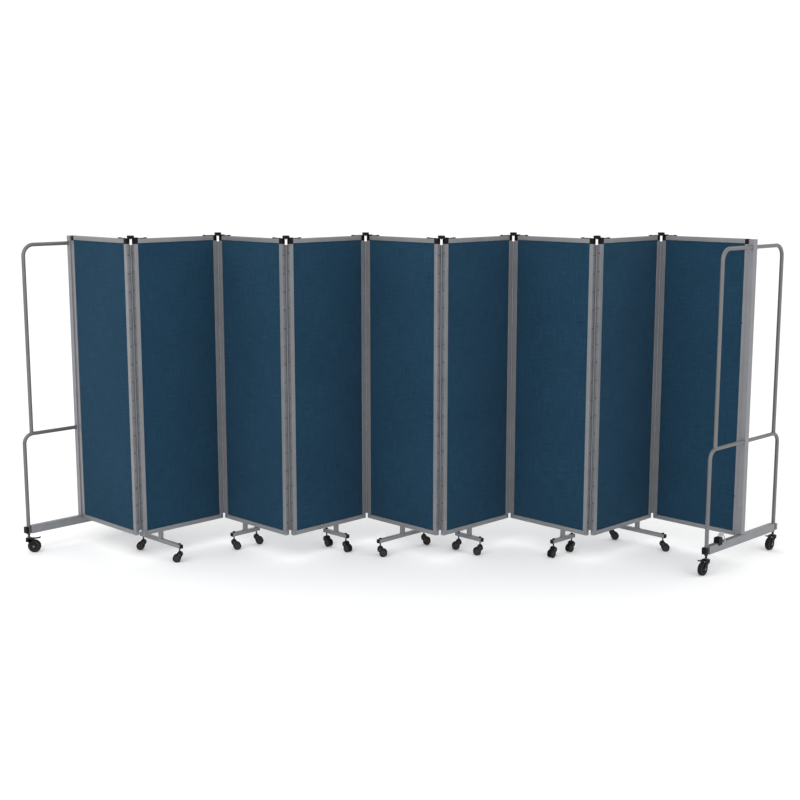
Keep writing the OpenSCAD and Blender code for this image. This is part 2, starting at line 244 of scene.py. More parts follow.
def plate(outline: Outline, low: float, high: float, bevel: float = 0.0,
          segments: int = 2) -> bmesh.types.BMesh:
    """Raises a flat outline into a plate along Z.

    Args:
        outline: Its points in X and Y, in order.
        low: The height of its lower face.
        high: The height of its upper face.
        bevel: The width of its rounded rims.
        segments: How many faces round a rim.

    Returns:
        The closed shell.
    """
    shell = bmesh.new()
    face = shell.faces.new([shell.verts.new((x, y, low)) for x, y in outline])
    raised = bmesh.ops.extrude_face_region(shell, geom=[face], use_keep_orig=True)
    bmesh.ops.translate(shell, vec=(0.0, 0.0, high - low), verts=verts_of(raised["geom"]))
    if bevel:
        round_edges(shell, level_edges(shell), bevel, segments)
    return shell


def tapered(start: tuple[float, float], start_radius: float, end: tuple[float, float],
            end_radius: float, steps: int = 12) -> Outline:
    """Lists the outline of a bar with two round ends, which may differ.

    Args:
        start: The centre of one round end.
        start_radius: Its radius.
        end: The centre of the other.
        end_radius: Its radius.
        steps: How many stretches each round end has.

    Returns:
        The outline's points, in order.
    """
    lean = math.degrees(math.atan2(end[1] - start[1], end[0] - start[0]))
    spread = math.degrees(math.acos((start_radius - end_radius) / math.dist(start, end)))
    return (arc(start, start_radius, lean + spread, lean + 360.0 - spread, steps)
            + arc(end, end_radius, lean - spread, lean + spread, steps))


def crescent(centre: tuple[float, float], radius: float, bite: tuple[float, float],
             bite_radius: float, steps: int = 16) -> Outline:
    """Lists the outline of a disc with a round bite out of it.

    Args:
        centre: The disc's centre.
        radius: Its radius.
        bite: The bite's centre.
        bite_radius: Its radius.
        steps: How many stretches each arc has.

    Returns:
        The outline's points, in order.
    """
    gap = math.dist(centre, bite)
    lean = math.degrees(math.atan2(bite[1] - centre[1], bite[0] - centre[0]))
    out = math.degrees(math.acos((gap ** 2 + radius ** 2 - bite_radius ** 2)
                                 / (2 * gap * radius)))
    back = math.degrees(math.acos((gap ** 2 + bite_radius ** 2 - radius ** 2)
                                  / (2 * gap * bite_radius)))
    return (arc(centre, radius, lean + out, lean + 360.0 - out, steps)
            + arc(bite, bite_radius, lean + 180.0 + back, lean + 180.0 - back, steps)[1:-1])


def bent_tube(radius: float, rise: float, bend: float, run: float, sides: int = 24,
              bend_steps: int = 14) -> bmesh.types.BMesh:
    """Makes a tube that rises along Z, bends towards -Y and runs on level.

    Args:
        radius: The tube's radius.
        rise: The height at which the bend starts.
        bend: The bend's radius at the tube's centre.
        run: The length of the level stretch.
        sides: How many faces go round the tube.
        bend_steps: How many stretches the bend has.

    Returns:
        The closed shell, with its foot at the origin.
    """
    shell = bmesh.new()
    bmesh.ops.create_circle(shell, cap_ends=False, segments=sides, radius=radius)
    rising = bmesh.ops.extrude_edge_only(shell, edges=list(shell.edges))["geom"]
    bmesh.ops.translate(shell, vec=(0.0, 0.0, rise), verts=verts_of(rising))
    ring = [g for g in rising if not isinstance(g, bmesh.types.BMFace)]
    turn = bmesh.ops.spin(shell, geom=ring, axis=X_AXIS, cent=(0.0, -bend, rise),
                          angle=math.pi / 2, steps=bend_steps)
    ring = [g for g in turn["geom_last"] if isinstance(g, bmesh.types.BMEdge)]
    level = bmesh.ops.extrude_edge_only(shell, edges=ring)["geom"]
    bmesh.ops.translate(shell, vec=(0.0, -run, 0.0), verts=verts_of(level))
    bmesh.ops.edgeloop_fill(shell, edges=[e for e in shell.edges if e.is_boundary])
    return shell


def screw(radius: float, height: float, sides: int = 10) -> bmesh.types.BMesh:
    """Makes a domed screw head with a sunk socket, standing on Z = 0.

    Args:
        radius: The head's radius.
        height: How far it stands proud.
        sides: How many faces go round it.

    Returns:
        The closed shell.
    """
    floor = height * 0.35
    return turned([(0.0, -height / 2), (radius, -height / 2), (radius, floor),
                   (radius * 0.72, height), (radius * 0.42, height),
                   (radius * 0.34, floor), (0.0, floor)], sides)


class Shape:
    """A mesh put together from closed shells, each with one of the piece's finishes."""

    def __init__(self, place: Matrix = UNMOVED) -> None:
        """Starts an empty shape.

        Args:
            place: Takes the shape's own frame to the wall's frame.
        """
        self.mesh = bmesh.new()
        self.place = place
        self.finish = 0

    def add(self, shell: bmesh.types.BMesh, at: Matrix = UNMOVED) -> None:
        """Adds a shell and uses it up.

        Args:
            shell: The closed shell to add.
            at: Takes the shell's frame to the shape's own frame.
        """
        bmesh.ops.transform(shell, matrix=self.place @ at, verts=shell.verts)
        bmesh.ops.recalc_face_normals(shell, faces=shell.faces)
        for face in shell.faces:
            face.material_index = self.finish
            face.smooth = True
        scrap = bpy.data.meshes.new("scrap")
        shell.to_mesh(scrap)
        shell.free()
        self.mesh.from_mesh(scrap)
        bpy.data.meshes.remove(scrap)

    def piece(self, name: str, body: str, finishes: list[bpy.types.Material],
              stands_for: tuple[str, ...] = ()) -> None:
        """Ends the shape as a piece that moves with a body.

        Args:
            name: The piece's name.
            body: The body it rides on.
            finishes: Its materials, in the order of the shells' finish numbers.
            stands_for: The CAD nodes that it stands for, wholly or with other pieces.
        """
        mesh = bpy.data.meshes.new(name)
        self.mesh.to_mesh(mesh)
        self.mesh.free()
        mesh.set_sharp_from_angle(angle=SHARP_ANGLE)
        for material in finishes:
            mesh.materials.append(material)
        made = bpy.data.objects.new(name, mesh)
        bpy.context.scene.collection.objects.link(made)
        weighted = made.modifiers.new("weighted_normals", "WEIGHTED_NORMAL")
        weighted.keep_sharp = True
        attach(made, body)
        if stands_for:
            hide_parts(*stands_for)
        LOG.info("%s: %d faces on %s", name, len(mesh.polygons), body)


# ---------------------------------------------------------------- finishes


class Wiring:
    """Adds nodes to a shader tree and joins them."""

    def __init__(self, tree: bpy.types.NodeTree) -> None:
        """Takes the tree to work in."""
        self.tree = tree

    def feed(self, node: bpy.types.Node, inputs: dict) -> None:
        """Sets or links a node's inputs.

        Args:
            node: The node.
            inputs: Its sockets by name or number, each a value or a socket to link.
        """
        for key, value in inputs.items():
            if isinstance(value, bpy.types.NodeSocket):
                self.tree.links.new(value, node.inputs[key])
            else:
                node.inputs[key].default_value = value

    def node(self, kind: str, inputs: dict | None = None, **settings) -> bpy.types.Node:
        """Adds a node.

        Args:
            kind: The node's type.
            inputs: Its inputs, as feed takes them.
            **settings: Its own properties.

        Returns:
            The new node.
        """
        made = self.tree.nodes.new(kind)
        for key, value in settings.items():
            setattr(made, key, value)
        self.feed(made, inputs or {})
        return made

    def math(self, operation: str, first, second=0.0) -> bpy.types.NodeSocket:
        """Adds a Math node and gives its result."""
        return self.node("ShaderNodeMath", {0: first, 1: second},
                         operation=operation).outputs[0]

    def noise(self, place, scale, detail: float, roughness: float = 0.5) -> bpy.types.NodeSocket:
        """Adds a Noise Texture node and gives its value."""
        return self.node("ShaderNodeTexNoise",
                         {"Vector": place, "Scale": scale, "Detail": detail,
                          "Roughness": roughness}).outputs[0]

    def blend(self, factor, first, second) -> bpy.types.NodeSocket:
        """Adds a colour Mix node and gives its result."""
        return self.node("ShaderNodeMix", {"Factor": factor, 6: first, 7: second},
                         data_type="RGBA").outputs[2]

    def spread(self, value, low: float, high: float, start: float = 0.0,
               end: float = 1.0) -> bpy.types.NodeSocket:
        """Maps start to end onto low to high and gives the result."""
        return self.node("ShaderNodeMapRange",
                         {"Value": value, "From Min": start, "From Max": end,
                          "To Min": low, "To Max": high}).outputs[0]


def new_group(name: str, inputs: dict[str, tuple[str, float]],
              outputs: dict[str, str]) -> tuple[bpy.types.NodeTree, Wiring, bpy.types.Node,
                                                bpy.types.Node]:
    """Starts a shader node group.

    Args:
        name: The group's name.
        inputs: The type and default of each input.
        outputs: The type of each output.

    Returns:
        The group, its wiring, its input node and its output node.
    """
    group = bpy.data.node_groups.new(name, "ShaderNodeTree")
    for title, (kind, default) in inputs.items():
        socket = group.interface.new_socket(name=title, in_out="INPUT", socket_type=kind)
        if kind == "NodeSocketFloat":
            socket.default_value = default
    for title, kind in outputs.items():
        group.interface.new_socket(name=title, in_out="OUTPUT", socket_type=kind)
    wiring = Wiring(group)
    return (group, wiring, wiring.node("NodeGroupInput"), wiring.node("NodeGroupOutput"))


def grain_group() -> bpy.types.NodeTree:
    """Builds the fine mottled grain of a painted or moulded surface, with larger clouds.

    Returns:
        The group, with a grain height and a cloud mask.
    """
    group, wiring, given, made = new_group(
        "surface_grain",
        {"Vector": ("NodeSocketVector", 0.0), "Grain Scale": ("NodeSocketFloat", 900.0),
         "Cloud Scale": ("NodeSocketFloat", 14.0)},
        {"Grain": "NodeSocketFloat", "Cloud": "NodeSocketFloat"})
    place = given.outputs["Vector"]
    wiring.feed(made, {"Grain": wiring.noise(place, given.outputs["Grain Scale"], 2.0),
                       "Cloud": wiring.noise(place, given.outputs["Cloud Scale"], 5.0, 0.62)})
    return group


def edge_group() -> bpy.types.NodeTree:
    """Builds a mask of the rubbed outer edges, broken up by noise.

    Returns:
        The group, with the wear mask.
    """
    group, wiring, given, made = new_group(
        "edge_wear",
        {"Vector": ("NodeSocketVector", 0.0), "Radius": ("NodeSocketFloat", 0.0015),
         "Amount": ("NodeSocketFloat", 0.5)},
        {"Wear": "NodeSocketFloat"})
    rounded = wiring.node("ShaderNodeBevel", {"Radius": given.outputs["Radius"]}, samples=4)
    flat = wiring.node("ShaderNodeNewGeometry")
    facing = wiring.node("ShaderNodeVectorMath",
                         {0: rounded.outputs[0], 1: flat.outputs["Normal"]},
                         operation="DOT_PRODUCT")
    turned_away = wiring.math("SUBTRACT", 1.0, facing.outputs["Value"])
    edge = wiring.spread(turned_away, 0.0, 1.0, start=0.02, end=0.2)
    rub = wiring.noise(given.outputs["Vector"], 60.0, 4.0)
    broken = wiring.spread(rub, 0.0, 1.0, start=0.4, end=0.65)
    both = wiring.math("MULTIPLY", edge, broken)
    wiring.feed(made, {"Wear": wiring.math("MULTIPLY", both, given.outputs["Amount"])})
    return group


def dust_group() -> bpy.types.NodeTree:
    """Builds a mask of the thin dust that settles on what faces up and near the floor.

    Returns:
        The group, with the dust mask.
    """
    group, wiring, given, made = new_group(
        "settled_dust",
        {"Vector": ("NodeSocketVector", 0.0), "Amount": ("NodeSocketFloat", 0.3)},
        {"Dust": "NodeSocketFloat"})
    normal = wiring.node("ShaderNodeSeparateXYZ",
                         {0: wiring.node("ShaderNodeNewGeometry").outputs["Normal"]})
    up = wiring.spread(normal.outputs[2], 0.0, 1.0, start=0.3)
    height = wiring.node("ShaderNodeSeparateXYZ", {0: given.outputs["Vector"]})
    low = wiring.spread(height.outputs[2], 0.0, 0.5, start=DUSTY_HEIGHT, end=0.0)
    speck = wiring.noise(given.outputs["Vector"], 130.0, 6.0, 0.7)
    both = wiring.math("MAXIMUM", up, low)
    broken = wiring.math("MULTIPLY", both, wiring.spread(speck, -0.2, 1.4))
    wiring.feed(made, {"Dust": wiring.math("MULTIPLY", broken, given.outputs["Amount"])})
    return group


def weave_group() -> bpy.types.NodeTree:
    """Builds a plain weave of heathered yarn on a cloth's own coordinates, in metres.

    Returns:
        The group, with the height of the threads and the tone of the yarn.
    """
    group, wiring, given, made = new_group(
        "heathered_weave",
        {"Vector": ("NodeSocketVector", 0.0), "Threads": ("NodeSocketFloat", 900.0),
         "Slub": ("NodeSocketFloat", 1.0)},
        {"Height": "NodeSocketFloat", "Tone": "NodeSocketFloat"})
    place = wiring.node("ShaderNodeSeparateXYZ", {0: given.outputs["Vector"]})
    turn = wiring.math("MULTIPLY", given.outputs["Threads"], math.pi)
    warp = wiring.math("SINE", wiring.math("MULTIPLY", place.outputs[0], turn))
    weft = wiring.math("SINE", wiring.math("MULTIPLY", place.outputs[1], turn))
    over = wiring.math("GREATER_THAN", wiring.math("MULTIPLY", warp, weft), 0.0)
    under = wiring.math("SUBTRACT", 1.0, over)
    threads = wiring.math("ADD",
                          wiring.math("MULTIPLY", wiring.math("ABSOLUTE", warp), over),
                          wiring.math("MULTIPLY", wiring.math("ABSOLUTE", weft), under))
    streaks = []
    across, along = 420.0, 9.0
    for scale in ((across, along, 1.0), (along, across, 1.0)):
        stretched = wiring.node("ShaderNodeMapping",
                                {"Vector": given.outputs["Vector"], "Scale": scale})
        streaks.append(wiring.noise(stretched.outputs[0], 1.0, 3.0, 0.7))
    slubs = wiring.math("MULTIPLY", wiring.math("ADD", *streaks), 0.5)
    slubs = wiring.spread(slubs, 0.0, 1.0, start=0.36, end=0.64)
    slubs = wiring.math("MULTIPLY", slubs, given.outputs["Slub"])
    cloud = wiring.noise(given.outputs["Vector"], 3.0, 4.0)
    slub_share = 0.72
    tone = wiring.math("ADD", wiring.math("MULTIPLY", slubs, slub_share),
                       wiring.math("MULTIPLY", cloud, 1.0 - slub_share))
    wiring.feed(made, {"Height": threads, "Tone": tone})
    return group


@dataclass
class Effects:
    """The node groups that the materials share."""

    grain: bpy.types.NodeTree = field(default_factory=grain_group)
    edges: bpy.types.NodeTree = field(default_factory=edge_group)
    dust: bpy.types.NodeTree = field(default_factory=dust_group)
    weave: bpy.types.NodeTree = field(default_factory=weave_group)


def new_material(name: str) -> tuple[bpy.types.Material, Wiring, bpy.types.Node]:
    """Starts a material, and gives it with its wiring and its shader."""
    material = bpy.data.materials.new(name)
    material.use_nodes = True
    tree = material.node_tree
    return material, Wiring(tree), tree.nodes["Principled BSDF"]


@dataclass(frozen=True)
class HardFinish:
    """A painted, anodised or moulded finish with grain, rubbed edges and dust."""

    name: str
    colour: Colour
    shade: Colour
    worn: Colour
    roughness: float
    grain_scale: float
    grain_depth: float
    wear: float
    dust: float = 0.0
    metallic: float = 0.0
    coat: float = 0.0
    gloss: float = 0.5

    def build(self, effects: Effects) -> bpy.types.Material:
        """Builds the material.

        Args:
            effects: The shared node groups.

        Returns:
            The material.
        """
        material, wiring, shader = new_material(self.name)
        place = wiring.node("ShaderNodeTexCoord").outputs["Object"]
        grain = wiring.node("ShaderNodeGroup", node_tree=effects.grain)
        wear = wiring.node("ShaderNodeGroup", node_tree=effects.edges)
        dust = wiring.node("ShaderNodeGroup", node_tree=effects.dust)
        wiring.feed(grain, {"Vector": place, "Grain Scale": self.grain_scale})
        wiring.feed(wear, {"Vector": place, "Amount": self.wear})
        wiring.feed(dust, {"Vector": place, "Amount": self.dust})
        mottle = wiring.spread(grain.outputs["Cloud"], 0.0, 1.0, start=0.3, end=0.7)
        speck = wiring.math("ADD", wiring.math("MULTIPLY", mottle, 0.6),
                            wiring.math("MULTIPLY", grain.outputs["Grain"], 0.4))
        base = wiring.blend(speck, self.shade, self.colour)
        base = wiring.blend(wear.outputs["Wear"], base, self.worn)
        base = wiring.blend(dust.outputs["Dust"], base, DUST_COLOUR)
        rough = wiring.spread(speck, self.roughness - 0.05, self.roughness + 0.07)
        rough = wiring.math("ADD", rough, wiring.math("MULTIPLY", dust.outputs["Dust"], 0.4))
        bump = wiring.node("ShaderNodeBump",
                           {"Height": grain.outputs["Grain"], "Strength": 0.5,
                            "Distance": self.grain_depth})
        wiring.feed(shader, {"Base Color": base, "Roughness": rough,
                             "Normal": bump.outputs[0], "Metallic": self.metallic,
                             "Coat Weight": self.coat, "Coat Roughness": 0.35,
                             "Specular IOR Level": self.gloss})
        return material


@dataclass(frozen=True)
class ClothFinish:
    """Heathered woven cloth whose threads follow the board's own coordinates, with painted shade
    between the threads.
    """

    name: str
    dark: Colour
    light: Colour
    threads_per_metre: float

    def build(self, effects: Effects) -> bpy.types.Material:
        """Builds the material.

        Args:
            effects: The shared node groups.

        Returns:
            The material.
        """
        material, wiring, shader = new_material(self.name)
        weave = wiring.node("ShaderNodeGroup",
                            {"Vector": wiring.node("ShaderNodeTexCoord").outputs["UV"],
                             "Threads": self.threads_per_metre},
                            node_tree=effects.weave)
        yarn = wiring.blend(weave.outputs["Tone"], self.dark, self.light)
        # The low spots between the threads are darkened towards a deep navy: painted shade in the
        # weave's hollows, not a colour of the yarn.
        painted_hollow_shade = wiring.spread(weave.outputs["Height"], 0.55, 0.0)
        painted_shade_colour = tuple(c * 0.35 for c in self.dark[:3]) + (1.0,)
        base = wiring.blend(painted_hollow_shade, yarn, painted_shade_colour)
        bump = wiring.node("ShaderNodeBump",
                           {"Height": weave.outputs["Height"], "Strength": 0.6,
                            "Distance": 0.5 * MM})
        rough = wiring.spread(weave.outputs["Tone"], 0.96, 0.84)
        wiring.feed(shader, {"Base Color": base, "Roughness": rough,
                             "Normal": bump.outputs[0], "Sheen Weight": 0.015,
                             "Sheen Roughness": 0.5, "Specular IOR Level": 0.06})
        return material


class Finishes:
    """Every material of the wall, built once."""

    def __init__(self) -> None:
        """Builds the shared effects and then the materials."""
        effects = Effects()
        # The frame's grey is its own satin colour; its slight blue tint is a painted reflection
        # of the navy cloth.
        self.frame = HardFinish(
            "satin_frame", colour=(0.236, 0.243, 0.256, 1), shade=(0.186, 0.192, 0.204, 1),
            worn=(0.48, 0.48, 0.49, 1), roughness=0.42, grain_scale=1400.0, grain_depth=0.08 * MM,
            wear=0.5, dust=0.10, metallic=0.35).build(effects)
        self.tube = HardFinish(
            "satin_tube", colour=(0.165, 0.165, 0.168, 1), shade=(0.125, 0.125, 0.128, 1),
            worn=(0.36, 0.36, 0.36, 1), roughness=0.40, grain_scale=1400.0, grain_depth=0.08 * MM,
            wear=0.4, dust=0.08, metallic=0.35).build(effects)
        # The hinge leaves' slight blue tint is likewise a painted reflection of the navy cloth.
        self.leaf = HardFinish(
            "hinge_leaf", colour=(0.212, 0.219, 0.232, 1), shade=(0.152, 0.157, 0.168, 1),
            worn=(0.48, 0.48, 0.48, 1), roughness=0.45, grain_scale=1800.0, grain_depth=0.06 * MM,
            wear=0.6, dust=0.08, metallic=0.5).build(effects)
        self.steel = HardFinish(
            "zinc_steel", colour=(0.24, 0.24, 0.25, 1), shade=(0.16, 0.16, 0.165, 1),
            worn=(0.5, 0.5, 0.5, 1), roughness=0.35, grain_scale=2200.0, grain_depth=0.05 * MM,
            wear=0.5, dust=0.05, metallic=0.9).build(effects)
        self.black = HardFinish(
            "black_moulding", colour=(0.0065, 0.0065, 0.007, 1), shade=(0.003, 0.003, 0.0035, 1),
            worn=(0.04, 0.04, 0.04, 1), roughness=0.46, grain_scale=1600.0, grain_depth=0.12 * MM,
            wear=0.5, dust=0.02, gloss=0.12).build(effects)
        self.black_steel = HardFinish(
            "black_steel", colour=(0.007, 0.007, 0.0075, 1), shade=(0.0035, 0.0035, 0.004, 1),
            worn=(0.07, 0.07, 0.07, 1), roughness=0.42, grain_scale=2000.0, grain_depth=0.08 * MM,
            wear=0.6, dust=0.015, metallic=0.1, coat=0.03, gloss=0.15).build(effects)
        self.tread = HardFinish(
            "tread_rubber", colour=(0.011, 0.011, 0.0115, 1), shade=(0.006, 0.006, 0.0065, 1),
            worn=(0.03, 0.03, 0.03, 1), roughness=0.72, grain_scale=1100.0, grain_depth=0.15 * MM,
            wear=0.3, dust=0.05, gloss=0.1).build(effects)
        self.hub = HardFinish(
            "hub_moulding", colour=(0.036, 0.036, 0.038, 1), shade=(0.022, 0.022, 0.023, 1),
            worn=(0.10, 0.10, 0.10, 1), roughness=0.5, grain_scale=1500.0, grain_depth=0.10 * MM,
            wear=0.4, dust=0.03, gloss=0.2).build(effects)
        self.dark_screw = HardFinish(
            "dark_screw", colour=(0.028, 0.028, 0.029, 1), shade=(0.014, 0.014, 0.015, 1),
            worn=(0.16, 0.16, 0.16, 1), roughness=0.38, grain_scale=2400.0, grain_depth=0.04 * MM,
            wear=0.4, metallic=0.3).build(effects)
        self.plain_tab = HardFinish(
            "tab_steel", colour=(0.56, 0.56, 0.57, 1), shade=(0.46, 0.46, 0.47, 1),
            worn=(0.7, 0.7, 0.7, 1), roughness=0.35, grain_scale=1800.0, grain_depth=0.04 * MM,
            wear=0.4, dust=0.03, metallic=0.2).build(effects)
        self.cloth = ClothFinish(
            "navy_weave", (0.0055, 0.026, 0.050, 1), (0.026, 0.078, 0.138, 1),
            850.0).build(effects)


# ---------------------------------------------------------------- panels


class Joints:
    """The points of the wall's joints."""

    def __init__(self, joints: list[dict]) -> None:
        """Takes the frame's list of joints."""
        self.points = {joint["name"]: Vector(joint["pos_m"]) for joint in joints}

    def caster(self, turn: str, roll: str) -> Matrix:
        """Gives a caster's place on the floor.

        Args:
            turn: The joint that its stem turns in.
            roll: The joint that its wheel rolls on.

        Returns:
            The frame whose Z is the stem and whose +X points at the axle.
        """
        stem, axle = self.points[turn], self.points[roll]
        heading = math.atan2(axle.y - stem.y, axle.x - stem.x)
        return (Matrix.Translation((stem.x, stem.y, 0.0))
                @ Matrix.Rotation(heading, 4, "Z"))


def board_middle(number: int) -> Vector:
    """Gives the point on the floor under the middle of a panel's board."""
    low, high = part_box(f"panel_board_{number}")
    return Vector(((low.x + high.x) / 2, (low.y + high.y) / 2, 0.0))


@dataclass
class Panel:
    """One panel of the wall: frame, board, hinge halves, straps and T-leg."""

    number: int
    joints: Joints
    finishes: Finishes
    length: float = 566 * MM
    depth: float = 24 * MM
    stile: float = 25 * MM
    rail: float = 25 * MM
    corner: float = 28 * MM
    top: float = 1829 * MM
    bottom: float = 146 * MM
    edge: float = 1.6 * MM
    hinge_gap: float = 13 * MM
    pin_offset: float = 1 * MM
    hinge_low: float = 176 * MM
    hinge_high: float = 1795 * MM
    knuckles: int = 16
    barrel: float = 4 * MM
    leaf: float = 2 * MM
    strap_reach: float = 80 * MM
    strap_width: float = 18 * MM
    strap_thick: float = 3 * MM
    eye_gap: float = 0.4 * MM
    eye: float = 18 * MM
    cap: float = 20 * MM
    cap_height: float = 11 * MM
    screw_rows: int = 16
    screw_stagger: float = 6 * MM
    stile_screws: tuple[float, float] = (376 * MM, 1364 * MM)
    stile_screw_inset: float = 21 * MM
    corner_screw_inset: float = 12 * MM
    badge_margin: float = 4 * MM
    knuckle_gap: float = 0.4 * MM
    pin: float = 3 * MM
    pin_proud: float = 1 * MM
    pad: float = 11 * MM
    pad_proud: float = 2 * MM
    strap_screws: tuple[float, float, float] = (0.0, 26 * MM, 48 * MM)
    board_depth: float = 18 * MM
    board_crown: float = 0.8 * MM
    board_bevel: float = 3.2 * MM
    leg_tube: float = 22 * MM
    leg_low: float = 82 * MM
    leg_overhang: float = 14 * MM
    leg_fillet: float = 11 * MM

    def __post_init__(self) -> None:
        """Finds the panel's place from its board in the frame."""
        turn = -PANEL_TURN if self.number % 2 else PANEL_TURN
        self.place = (Matrix.Translation(board_middle(self.number))
                      @ Matrix.Rotation(turn, 4, "Z"))
        self.body = f"panel_{self.number}"
        self.node = f"panel_frame_{self.number}"
        self.ends = [side for side in (-1, 1)
                     if not (side < 0 and self.number == 1)
                     and not (side > 0 and self.number == PANEL_COUNT)]

    def build(self) -> None:
        """Builds every piece of the panel."""
        self.build_frame()
        self.build_corners()
        self.build_board()
        self.build_hinges()
        self.build_straps()
        if 1 < self.number < PANEL_COUNT:
            self.build_leg()

    def build_frame(self) -> None:
        """Builds the stiles, the rails and the lower corner blocks."""
        shape = Shape(self.place)
        height = self.top - self.bottom - 2 * (self.corner + SEAM)
        inner = self.length - 2 * (self.stile + SEAM)
        for side in (-1, 1):
            x = side * (self.length - self.stile) / 2
            shape.add(block((self.stile, self.depth, height),
                            (x, 0.0, (self.top + self.bottom) / 2), self.edge))
            shape.add(block((self.stile, self.depth, self.corner),
                            (x, 0.0, self.bottom + self.corner / 2), self.edge))
        for z in (self.bottom + self.rail / 2, self.top - self.rail / 2):
            shape.add(block((inner, self.depth, self.rail), (0.0, 0.0, z), self.edge))
        shape.finish = 1
        for side in (-1, 1):
            for face in (-1, 1):
                at = self.facing(side * (self.length / 2 - self.corner_screw_inset), face,
                                 self.bottom + self.corner / 2)
                shape.add(screw(*CORNER_SCREW), at)
        if self.number == PANEL_COUNT:
            for z in self.stile_screws:
                for face in (-1, 1):
                    at = self.facing(self.length / 2 - self.stile_screw_inset, face, z)
                    shape.add(screw(*STILE_SCREW), at)
        shape.piece(f"frame_tubes_{self.number}", self.body,
                    [self.finishes.frame, self.finishes.dark_screw], (self.node,))

    def facing(self, x: float, face: int, z: float) -> Matrix:
        """Gives the place of a screw on the front (-1) or rear (+1) face of the frame."""
        return (Matrix.Translation((x, face * self.depth / 2, z))
                @ Matrix.Rotation(-face * math.pi / 2, 4, "X"))

    def build_corners(self) -> None:
        """Builds the black blocks that join stiles and rails at the top."""
        shape = Shape(self.place)
        z = self.top - self.corner / 2
        badge = (self.stile - 2 * self.badge_margin, 1.2 * MM,
                 self.corner - 2 * self.badge_margin)
        for side in (-1, 1):
            x = side * (self.length - self.stile) / 2
            shape.add(block((self.stile, self.depth, self.corner), (x, 0.0, z), 2.2 * MM, 3))
            for face in (-1, 1):
                shape.add(block(badge, (x, face * self.depth / 2, z), 0.5 * MM))
        shape.piece(f"corner_blocks_{self.number}", self.body,
                    [self.finishes.black], (self.node,))

    def build_board(self) -> None:
        """Builds the board with its cloth, which rolls round the edges into the frame."""
        width = self.length - 2 * (self.stile + SEAM)
        height = self.top - self.bottom - 2 * (self.rail + SEAM)
        shell = block((width, self.board_depth, height), (0.0, 0.0, 0.0),
                      self.board_bevel, 3)
        long_edges = [e for e in shell.edges if e.calc_length() > 100 * MM]
        bmesh.ops.subdivide_edges(shell, edges=long_edges, cuts=9, use_grid_fill=True)
        for vert in shell.verts:
            across = max(0.0, 1.0 - (2.0 * vert.co.x / width) ** 4)
            upward = max(0.0, 1.0 - (2.0 * vert.co.z / height) ** 4)
            vert.co.y += math.copysign(self.board_crown * across * upward, vert.co.y)
        middle = (self.top + self.bottom) / 2
        bmesh.ops.translate(shell, vec=(0.0, 0.0, middle), verts=shell.verts)
        shell.normal_update()
        threads = shell.loops.layers.uv.new("threads")
        shift = self.number * 0.613
        for face in shell.faces:
            edge_on = abs(face.normal.x) > 0.75
            for loop in face.loops:
                co = loop.vert.co
                flat = (co.y if edge_on else co.x) + shift
                rise = co.y if abs(face.normal.z) > 0.75 else co.z
                loop[threads].uv = (flat, rise)
        shape = Shape(self.place)
        shape.add(shell)
        shape.piece(f"cloth_board_{self.number}", self.body,
                    [self.finishes.cloth], (f"panel_board_{self.number}",))

    def hinge_place(self, end: int) -> Matrix:
        """Gives the place of a hinge's pin at the right (+1) or left (-1) end.

        In that frame +X points away from the panel and +Y away from the pin's face.
        """
        pin_side = end if self.number % 2 else -end
        pin = Matrix.Translation((end * (self.length + self.hinge_gap) / 2,
                                  pin_side * (self.depth / 2 + self.pin_offset), 0.0))
        return pin @ Matrix.Diagonal((end, pin_side, 1.0, 1.0))

    def build_hinges(self) -> None:
        """Builds the leaves with their knuckles, the pin and the screws."""
        leaves = Shape(self.place)
        screws = Shape(self.place)
        step = (self.hinge_high - self.hinge_low) / self.knuckles
        wall = -self.hinge_gap / 2 + SEAM
        full = self.depth + self.pin_offset
        for end in self.ends:
            at = self.hinge_place(end)
            middle = (self.hinge_low + self.hinge_high) / 2
            leaves.finish = 0
            leaves.add(block((self.leaf, full - SEAM, self.hinge_high - self.hinge_low),
                             (wall + self.leaf / 2, -(full + SEAM) / 2, middle), 0.4 * MM), at)
            first = 0 if end > 0 else 1
            for k in range(first, self.knuckles, 2):
                low = self.hinge_low + k * step + self.knuckle_gap / 2
                high = low + step - self.knuckle_gap
                leaves.add(rod(self.barrel, low, high, 0.5 * MM, 20), at)
                leaves.add(block((-wall, self.leaf, high - low),
                                 (wall / 2, -self.leaf / 2, (low + high) / 2), 0.4 * MM), at)
            if end > 0:
                leaves.finish = 1
                for z in (self.hinge_low, self.hinge_high):
                    leaves.add(rod(self.pin, z - self.pin_proud, z + self.pin_proud,
                                   0.6 * MM, 16), at)
            for k in range(self.screw_rows):
                share = (k + 0.5) / self.screw_rows
                z = (self.hinge_low + share * (self.hinge_high - self.hinge_low)
                     - self.screw_stagger * end)
                spot = (Matrix.Translation((wall + self.leaf, -full / 2 - 2 * MM, z))
                        @ Matrix.Rotation(math.pi / 2, 4, "Y"))
                screws.add(screw(*LEAF_SCREW), at @ spot)
        leaves.piece(f"hinge_leaves_{self.number}", self.body,
                     [self.finishes.leaf, self.finishes.steel], (self.node,))
        screws.piece(f"leaf_screws_{self.number}", self.body,
                     [self.finishes.dark_screw])

